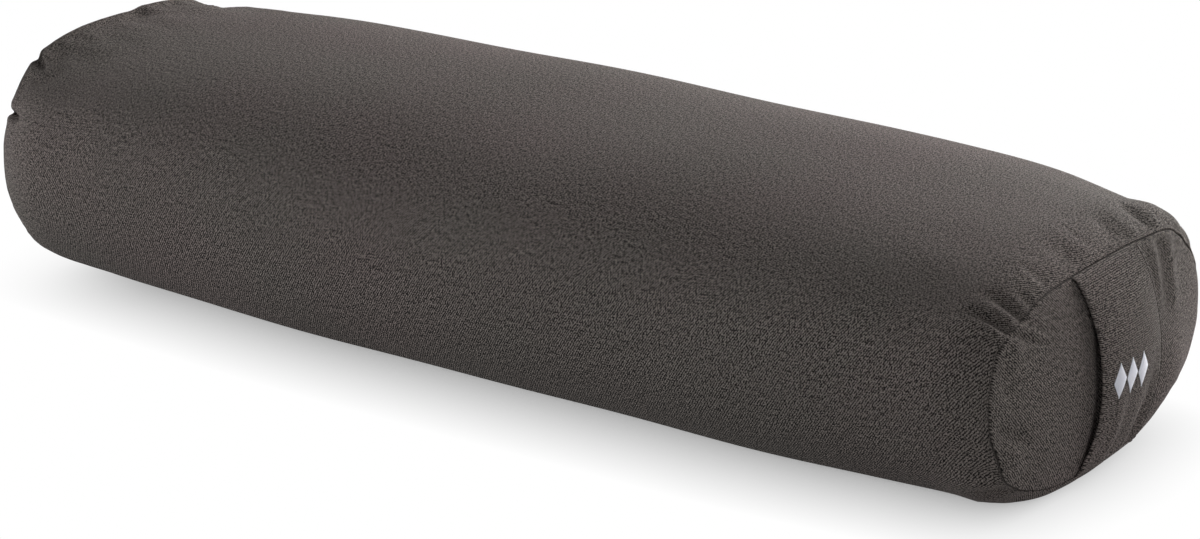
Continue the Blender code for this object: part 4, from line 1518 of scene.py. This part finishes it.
# Stitches, zip coils and satin threads are made along a straight line by Geometry Nodes,
# then laid on their path

def endTree(tree, given, made, geometry):
    real = addNode(tree, "GeometryNodeRealizeInstances", {0: geometry}).outputs[0]
    painted = addNode(tree, "GeometryNodeSetMaterial", {"Geometry": real, "Material": given["Material"]})
    feed(tree, made["Geometry"], painted.outputs[0])
    return tree


# A round wire along a curve
def sweepRing(tree, curve, radius, sides):
    ring = addNode(tree, "GeometryNodeCurvePrimitiveCircle", {"Resolution": sides, "Radius": radius})
    return addNode(tree, "GeometryNodeCurveToMesh", {
        "Curve": curve, "Profile Curve": ring.outputs[0], "Fill Caps": True}).outputs[0]


# A thread from one side to the other that rises in its middle
def addThread(tree, half, rise, radius, steps, sides):
    bow = addNode(tree, "GeometryNodeCurveQuadraticBezier", {
        "Resolution": steps, "Start": threeParts(tree, calc(tree, "MULTIPLY", half, -1.0), 0.0, 0.0),
        "Middle": threeParts(tree, 0.0, 0.0, calc(tree, "MULTIPLY", rise, 2.0)),
        "End": threeParts(tree, half, 0.0, 0.0)})
    return sweepRing(tree, bow.outputs[0], radius, sides)


# Copies of what inputs names, in a row along X
def repeatAlong(tree, count, pitch, inputs):
    row = addNode(tree, "GeometryNodeMeshLine", {
        "Count": count, "Offset": threeParts(tree, pitch, 0.0, 0.0)}, mode="OFFSET")
    return addNode(tree, "GeometryNodeInstanceOnPoints", {"Points": row.outputs[0], **inputs}).outputs[0]


def makeStitchTree():
    tree, given, made = newTree("stitchRow", "GeometryNodeTree", [
        ("Count", "NodeSocketInt", 10), ("Pitch", "NodeSocketFloat", 0.003),
        ("Length", "NodeSocketFloat", 0.0024), ("Radius", "NodeSocketFloat", 0.0002),
        ("Rise", "NodeSocketFloat", 0.0002), ("Sway", "NodeSocketFloat", 0.05),
        ("Material", "NodeSocketMaterial", None)], [("Geometry", "NodeSocketGeometry")])
    half = calc(tree, "MULTIPLY", given["Length"], 0.5)
    thread = addThread(tree, half, given["Rise"], given["Radius"], 6, 6)
    sway = addNode(tree, "FunctionNodeRandomValue", {
        2: calc(tree, "MULTIPLY", given["Sway"], -1.0), 3: given["Sway"], "Seed": 3}, data_type="FLOAT")
    row = repeatAlong(tree, given["Count"], given["Pitch"], {
        "Instance": thread, "Rotation": threeParts(tree, 0.0, 0.0, sway.outputs[1])})
    return endTree(tree, given, made, row)


# A round wire wound flat, a turn to each tooth
def makeCoilTree():
    tree, given, made = newTree("coilRow", "GeometryNodeTree", [
        ("Turns", "NodeSocketInt", 300), ("Pitch", "NodeSocketFloat", 0.00125),
        ("Width", "NodeSocketFloat", 0.0022), ("Height", "NodeSocketFloat", 0.0016),
        ("Radius", "NodeSocketFloat", 0.00025), ("Material", "NodeSocketMaterial", None)],
        [("Geometry", "NodeSocketGeometry")])
    turns = addNode(tree, "GeometryNodeCurveSpiral", {
        "Resolution": 9, "Rotations": given["Turns"], "Start Radius": 0.5, "End Radius": 0.5,
        "Height": calc(tree, "MULTIPLY", given["Turns"], given["Pitch"])})
    wire = calc(tree, "MULTIPLY", given["Radius"], 2.0)
    size = threeParts(tree, calc(tree, "SUBTRACT", given["Height"], wire),
                      calc(tree, "SUBTRACT", given["Width"], wire), 1.0)
    laid = addNode(tree, "GeometryNodeTransform", {
        "Geometry": turns.outputs[0], "Rotation": (0, math.pi / 2, 0), "Scale": size})
    return endTree(tree, given, made, sweepRing(tree, laid.outputs[0], given["Radius"], 5))


# Lozenges side by side, each filled with level satin threads, which are shorter and lower
# towards its tips
satinTips = {"length": 0.06, "rise": 0.4}


def makeSatinTree():
    tree, given, made = newTree("satinLozenges", "GeometryNodeTree", [
        ("Lozenges", "NodeSocketInt", 3), ("Spacing", "NodeSocketFloat", 0.0092),
        ("Strands", "NodeSocketInt", 36), ("Width", "NodeSocketFloat", 0.0084),
        ("Height", "NodeSocketFloat", 0.015), ("Radius", "NodeSocketFloat", 0.00024),
        ("Rise", "NodeSocketFloat", 0.0004), ("Slant", "NodeSocketFloat", 0.12),
        ("Material", "NodeSocketMaterial", None)], [("Geometry", "NodeSocketGeometry")])
    half = calc(tree, "MULTIPLY", given["Height"], 0.5)
    low = threeParts(tree, 0.0, calc(tree, "MULTIPLY", half, -1.0), 0.0)
    high = threeParts(tree, 0.0, half, 0.0)
    column = addNode(tree, "GeometryNodeMeshLine", {
        "Count": given["Strands"], "Start Location": low, 3: high}, mode="END_POINTS")
    place = partsOf(tree, addNode(tree, "GeometryNodeInputPosition").outputs[0])
    off = calc(tree, "DIVIDE", calc(tree, "ABSOLUTE", place[1]), half)
    share = calc(tree, "MAXIMUM", calc(tree, "SUBTRACT", 1.0, off), satinTips["length"])
    rise = calc(tree, "MULTIPLY_ADD", share, 1 - satinTips["rise"], satinTips["rise"])
    halfWidth = calc(tree, "MULTIPLY", given["Width"], 0.5)
    filled = addNode(tree, "GeometryNodeInstanceOnPoints", {
        "Points": column.outputs[0],
        "Instance": addThread(tree, halfWidth, given["Rise"], given["Radius"], 7, 6),
        "Scale": threeParts(tree, share, 1.0, rise),
        "Rotation": threeParts(tree, 0.0, 0.0, given["Slant"])})
    row = repeatAlong(tree, given["Lozenges"], given["Spacing"], {"Instance": filled.outputs[0]})
    return endTree(tree, given, made, row)


stitchTree, coilTree, satinTree = makeStitchTree(), makeCoilTree(), makeSatinTree()


# The plain mesh that a tree makes from these values, and its points
def runTree(tree, values):
    carrier = inScene("carrier", bpy.data.meshes.new("carrier"))
    modifier = carrier.modifiers.new("made", "NODES")
    modifier.node_group = tree
    for item in tree.interface.items_tree:
        if item.name in values:
            modifier[item.identifier] = values[item.name]
    evaluated = carrier.evaluated_get(bpy.context.evaluated_depsgraph_get())
    mesh = bpy.data.meshes.new_from_object(evaluated)
    bpy.data.objects.remove(carrier)
    mesh.shade_smooth()
    return mesh, pointsOf(mesh).astype(float)


def addPiece(name, mesh, points=None):
    if points is not None:
        mesh.vertices.foreach_set("co", points.astype(np.float32).ravel())
        mesh.update()
    mesh.name = name
    return inScene(name, mesh)


# A row of stitches along a path of points, with the ways across it and out of the cloth
def sewRow(name, path, across, outward, setup, material):
    lengths = runningLength(path)
    count = max(int(lengths[-1] / setup["pitch"]), 1)
    pitch = lengths[-1] / count
    mesh, points = runTree(stitchTree, {
        "Count": count, "Pitch": pitch, "Length": pitch * setup["share"], "Radius": setup["radius"],
        "Rise": setup["rise"], "Sway": setup["sway"], "Material": material})
    spot, side, out = (
        pointsBetween(points[:, 0] + pitch / 2, lengths, values) for values in (path, across, outward)
    )
    return addPiece(name, mesh, spot + side * points[:, 1:2] + out * (points[:, 2:3] + setup["lift"]))


# Sewing of the end seams, seen deep between their turned edges, and down one edge of
# the strap: share is how much of the pitch a stitch takes
seamStitches = {
    "pitch": 0.0030,
    "share": 0.86,
    "radius": 0.00026,
    "rise": 0.00012,
    "sway": 0.10,
    "lift": -0.0012,
}
strapStitches = {
    "pitch": 0.0032,
    "share": 0.80,
    "radius": 0.00020,
    "rise": 0.00016,
    "sway": 0.05,
    "lift": 0.00002,
    "across": 0.925,
    "run": (0.03, 0.97),
    "spots": 240,
}


def sewSeam(name, end, layer, material):
    seam = seamAt(end, seamAngles, layer)
    return sewRow(name, seam["point"], seam["across"], -seam["inward"], seamStitches, material)


for prefix, layer, thread, slot in (
    ("cover", coverLayer, sewingThread, "sewing_thread"),
    ("liner", linerLayer, linerThread, "liner_thread"),
):
    for endName, end in (("handle_end", handleEnd), ("far_end", farEnd)):
        row = sewSeam(prefix + "_" + endName + "_stitches", end, layer, thread)
        settle(row, slot, prefix + "_" + endName + "_thread")

run = np.linspace(*strapStitches["run"], strapStitches["spots"])
path = strapPoints(run, strapStitches["across"], 1)
outward, sideways = strapWays(run, strapStitches["across"])
row = sewRow("strapTopstitch", path, sideways, outward, strapStitches, sewingThread)
settle(row, "sewing_thread")

# A plain motif of satin stitch on the strap: three even lozenges in a row
motif = {
    "Lozenges": 3,
    "Spacing": 0.0113,
    "Strands": 44,
    "Width": 0.0104,
    "Height": 0.0192,
    "Radius": 0.00025,
    "Rise": 0.00042,
    "Slant": 0.10,
}
motifPlace = {"y": 0.0018, "z": 0.0640, "lift": 0.00005}


def makeMotif(setup, place, material):
    mesh, points = runTree(satinTree, {**setup, "Material": material})
    y = points[:, 0] - setup["Spacing"] * (setup["Lozenges"] - 1) / 2 + place["y"]
    z = points[:, 1] + place["z"]
    top, low = seamSpan(y)
    height = (z - (low + top) / 2) / ((top - low) / 2 - strap["seamInset"])
    run = np.arccos(np.clip(height, -1, 1)) / math.pi
    middle, halfWidth = strapSpan(run, y - strap["lowOffset"])
    across = (y - middle) / halfWidth
    outward, _ = strapWays(run, across)
    lifted = strapPoints(run, across, 1) + outward * (points[:, 2:3] + place["lift"])
    return addPiece("strapMotif", mesh, lifted)


settle(makeMotif(motif, motifPlace, satinThread), "sewing_thread")
print("sewing made")


# The zips: tapes, coils, stops and sliders. In a zip's own frame, X runs along the cover,
# Y down its back and Z out of it.

zipForm = {
    "chainHalf": 0.1875,
    "coilPitch": 0.00125,
    "coilWidth": 0.0030,      # its teeth reach between the other coil's
    "coilHeight": 0.0016,
    "coilEdge": 0.00275,
    "coilSewing": 0.0017,     # from the zip's middle to the stitches over a coil
    "sewingInset": 0.002,
    "wire": 0.00026,
    "tapeHalfLength": 0.2050,
    "tapeInside": 0.00055,
    "tapeHalfWidth": 0.0130,
    "tapeThickness": 0.0005,
    "tapeRibs": (0.0040, 0.0058, 0.0076),
    "ribHalfWidth": 0.0005,
    "ribRise": 0.00012,
    "edgeBead": (0.0006, 0.0002, 0.0001),    # its foot and its top from the tape's edge, and its rise
    "tapeSharp": 40,          # degrees
    "clear": 0.0003,
    "hemMargin": 0.0028,      # from the window's edge to its sewing
    "hemEnd": 0.0050,
    "hemCorner": 0.0016,
    "hemSpots": 1600,
    "edges": {"stop": 0.00030, "slider": 0.00018, "tab": 0.00022},    # how wide they are softened
}
hemStitches = {
    "pitch": 0.0030,
    "share": 0.78,
    "radius": 0.00021,
    "rise": 0.00018,
    "sway": 0.04,
    "lift": 0.00004,
}
coilStitches = dict(hemStitches, pitch=0.0025, share=0.85, radius=0.00016, rise=0.00006, sway=0.05)


# The middle of a zip at this depth, and its X, Y and Z
def zipFrame(depth):
    low, high = tubePoints(0, zipFlat["angle"] + np.array([-1, 1]) * zipFlat["halfAngle"])
    down = unit(low - high)
    outward = np.cross([1.0, 0, 0], down)
    middle = (low + high) / 2 - outward * depth
    middle[0] = 0
    return middle, np.array([[1.0, 0, 0], down, outward])


def layOnZip(depth, points):
    middle, axes = zipFrame(depth)
    return middle + np.asarray(points) @ axes


# One half of a zip's tape: way is -1 above the chain and 1 below it
def makeTapeHalf(name, depth, wall, way, setup, material):
    top = -(wall + setup["clear"])
    low, edge = top - setup["tapeThickness"], setup["tapeHalfWidth"]
    outline, half = [(setup["tapeInside"], top)], setup["ribHalfWidth"]
    for rib in setup["tapeRibs"]:
        outline += [(rib - half, top), (rib, top + setup["ribRise"]), (rib + half, top)]
    foot, bead, rise = setup["edgeBead"]
    outline += [
        (edge - foot, top), (edge - bead, top + rise), (edge, (top + low) / 2), (edge - bead, low),
        (setup["tapeInside"], low),
    ]
    ends = (-setup["tapeHalfLength"], setup["tapeHalfLength"])
    points, count = [(x, way * y, z) for x in ends for y, z in outline], len(outline)
    faces = joinRows(0, count, count) + [tuple(range(count)), tuple(range(count, 2 * count))]
    piece = makeMesh(name, layOnZip(depth, points), faces, material, closed=True)
    piece.data.set_sharp_from_angle(angle=math.radians(setup["tapeSharp"]))
    return piece


def makeCoilHalf(name, depth, wall, way, setup, material):
    mesh, points = runTree(coilTree, {
        "Turns": int(2 * setup["chainHalf"] / setup["coilPitch"]) - 1, "Pitch": setup["coilPitch"],
        "Width": setup["coilWidth"], "Height": setup["coilHeight"], "Radius": setup["wire"],
        "Material": material})
    points[:, 0] += setup["coilPitch"] * (0.5 + 0.25 * way) - setup["chainHalf"]
    points[:, 1] = way * (points[:, 1] + setup["coilEdge"] - setup["coilWidth"] / 2)
    points[:, 2] += setup["coilHeight"] / 2 - wall
    if way < 0:
        mesh.flip_normals()
    return addPiece(name, mesh, layOnZip(depth, points))


def sewOnZip(name, depth, line, setup, material):
    path = layOnZip(depth, line)
    outward = np.broadcast_to(zipFrame(depth)[1][2], path.shape)
    across = np.cross(outward, unit(np.gradient(path, axis=0)))
    return sewRow(name, path, across, outward, setup, material)


# A rectangle with rounded corners round the zip's window
def hemLine(setup):
    halfX = zipFlat["windowHalfLength"] + setup["hemEnd"] - setup["hemCorner"]
    halfY = zipFlat["windowHalfWidth"] + setup["hemMargin"] - setup["hemCorner"]
    corners = []
    for i, (wayX, wayY) in enumerate(((1, 1), (-1, 1), (-1, -1), (1, -1))):
        for turn in np.radians(np.linspace(0, 90, 7) + 90 * i):
            corners.append((wayX * halfX + setup["hemCorner"] * math.cos(turn),
                            wayY * halfY + setup["hemCorner"] * math.sin(turn), 0))
    corners = np.array(corners + corners[:1])
    lengths = runningLength(corners)
    return pointsBetween(np.linspace(0, lengths[-1], setup["hemSpots"]), lengths, corners)


# Angles in degrees: faces flatter than flat are joined, and edges over bevel are softened
softening = {"merge": 1e-6, "flat": 1, "bevel": 30, "sharp": 50, "segments": 2}


# A copy of a CAD piece with its edges softened
def softenEdges(name, node, width, material):
    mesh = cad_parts[node].data.copy()
    flat, over, sharp = (math.radians(softening[key]) for key in ("flat", "bevel", "sharp"))

    def soften(shell):
        bmesh.ops.remove_doubles(shell, verts=shell.verts, dist=softening["merge"])
        bmesh.ops.dissolve_limit(shell, angle_limit=flat, verts=shell.verts, edges=shell.edges)
        edges = [e for e in shell.edges if e.is_manifold and e.calc_face_angle() > over]
        bmesh.ops.bevel(shell, geom=edges, offset=width, segments=softening["segments"],
                        profile=0.5, affect="EDGES", clamp_overlap=True)
        turnOutwards(shell)

    reshape(mesh, soften)
    mesh.materials.clear()
    mesh.materials.append(material)
    mesh.shade_smooth()
    mesh.set_sharp_from_angle(angle=sharp)
    return addPiece(name, mesh)


def makeZip(layerName, depth, layer, looks):
    setup, wall, node, label = zipForm, layer["wall"], layerName + "_zip_", layerName + "Zip"
    edges, reach = setup["edges"], setup["chainHalf"] - setup["sewingInset"]
    for half, way in (("Upper", -1), ("Lower", 1)):
        tape = makeTapeHalf(label + "Tape" + half, depth, wall, way, setup, looks["tape"])
        settle(tape, looks["tapeSlot"], node + "tape_" + half.lower())
        coil = makeCoilHalf(label + "Coil" + half, depth, wall, way, setup, looks["coil"])
        settle(coil, looks["coilSlot"], node + "coil_" + half.lower())
        y, z = way * setup["coilSewing"], setup["coilHeight"] - wall
        line = np.linspace((-reach, y, z), (reach, y, z), 60)
        row = sewOnZip(label + "CoilStitches" + half, depth, line, coilStitches, looks["thread"])
        settle(row, looks["threadSlot"])
    row = sewOnZip(label + "HemStitches", depth, hemLine(setup), hemStitches, looks["thread"])
    settle(row, looks["threadSlot"])
    for stop in ("top_stop_upper", "top_stop_lower", "bottom_stop"):
        piece = softenEdges(label + "_" + stop, node + stop, edges["stop"], looks["metal"])
        settle(piece, "zip_metal", node + stop)
    slider = softenEdges(label + "Slider", node + "slider", edges["slider"], looks["metal"])
    settle(slider, "zip_metal", node + "slider", body=layerName + "_slider")


makeZip("cover", 0.0, coverLayer, {
    "tape": zipTape, "coil": zipCoil, "thread": sewingThread, "metal": zipMetal,
    "tapeSlot": "zip_tape", "coilSlot": "zip_coil", "threadSlot": "sewing_thread"})
tab = softenEdges("coverZipPullTab", "cover_zip_pull_tab", zipForm["edges"]["tab"], zipMetal)
settle(tab, "zip_metal", "cover_zip_pull_tab", body="cover_pull_tab")
makeZip("liner", linerLayer["zipDepth"], linerLayer, {
    "tape": linerTape, "coil": linerCoil, "thread": linerThread, "metal": linerMetal,
    "tapeSlot": "liner_zip", "coilSlot": "liner_zip", "threadSlot": "liner_thread"})
print("zips made")


# Floor and light: a floor that glows white and carries a painted shadow, a weak soft lamp
# above the camera, a low one from its left, and two stronger ones from behind that catch
# the top and the folds. Each lamp is its azimuth and elevation in degrees, its watts and
# its colour.

lamps = {
    "front": (42, 45, 17.0, (1.0, 1.0, 1.0)),
    "left": (300, 8, 50.0, (1.0, 1.0, 1.0)),
    "back": (180, 14, 78.0, (1.0, 0.97, 0.96)),
    "backRight": (150, 25, 42.0, (1.0, 0.97, 0.96)),
}
lampSetup = {"size": 1.3, "distance": 2.5, "target": (0, 0, 0.07)}
floorLook = {
    "half": 4.0,
    "albedo": 0.8,
    "roughness": 0.9,
    # The floor's painted shadow: how far it reaches, how steeply it darkens, and where along X it fades
    # out
    "paintedShadowReach": 0.042,
    "paintedShadowPower": 0.28,
    "fadeMiddle": 0.03,       # the shadow fades this far along X on either side of here
    "fadeFrom": 0.28,
    "fadeTo": 0.42,
    "fadeShare": 0.8,
}


def makeLamps():
    for name, (azimuth, elevation, power, colour) in lamps.items():
        data = bpy.data.lights.new(name, "AREA")
        data.shape = "DISK"
        data.size = lampSetup["size"]
        data.energy = power
        data.color = colour
        back = wayTo(azimuth, elevation)
        aimAt(name, data, Vector(lampSetup["target"]) + back * lampSetup["distance"], back)


# How much of a ray is the camera's own, or one that a shiny surface sends on
def seenDirectly(tree):
    path = addNode(tree, "ShaderNodeLightPath").outputs
    shiny = calc(tree, "MAXIMUM", path["Is Glossy Ray"], path["Is Transmission Ray"])
    return calc(tree, "MAXIMUM", path["Is Camera Ray"], shiny)


# The floor glows evenly white for the camera and for shiny rays, and carries a painted shadow. Its glow is
# darkened by how much of the space within a short reach of each spot the bolster hides, and this painted
# shadow fades towards white past the bolster's ends. Other rays see a plain pale diffuse floor.
def makeFloor():
    material, tree, shader = newMaterial("floorPaper", floorLook)
    shader.inputs["Base Color"].default_value = (floorLook["albedo"],) * 3 + (1,)
    shade = addNode(tree, "ShaderNodeAmbientOcclusion", {"Distance": floorLook["paintedShadowReach"]}, samples=32)
    level = calc(tree, "POWER", shade.outputs["AO"], floorLook["paintedShadowPower"])
    x = partsOf(tree, placeOn(tree))[0]
    apart = calc(tree, "ABSOLUTE", calc(tree, "SUBTRACT", x, floorLook["fadeMiddle"]))
    fade = addNode(tree, "ShaderNodeMapRange", {
        "Value": apart, "From Min": floorLook["fadeFrom"], "From Max": floorLook["fadeTo"],
        "To Max": floorLook["fadeShare"]}, interpolation_type="SMOOTHSTEP")
    level = between(tree, fade.outputs["Result"], level, 1.0)
    glowWithPaintedShadow = addNode(tree, "ShaderNodeEmission", {"Strength": level})
    both = addNode(tree, "ShaderNodeMixShader", {
        0: seenDirectly(tree), 1: shader.outputs[0], 2: glowWithPaintedShadow.outputs[0]})
    feed(tree, tree.nodes["Material Output"].inputs["Surface"], both.outputs[0])
    half = floorLook["half"]
    corners = [(-half, -half, 0), (half, -half, 0), (half, half, 0), (-half, half, 0)]
    mesh = bpy.data.meshes.new("floor")
    mesh.from_pydata(corners, [], [(0, 1, 2, 3)])
    mesh.materials.append(material)
    floor = inScene("floor", mesh)


def makeWorld():
    world = bpy.data.worlds.new("world")
    world.use_nodes = True
    scene.world = world
    tree = world.node_tree
    background = tree.nodes["Background"]
    background.inputs["Color"].default_value = (1, 1, 1, 1)
    feed(tree, background.inputs["Strength"], seenDirectly(tree))


makeLamps()
makeFloor()
makeWorld()
print("floor and light made")
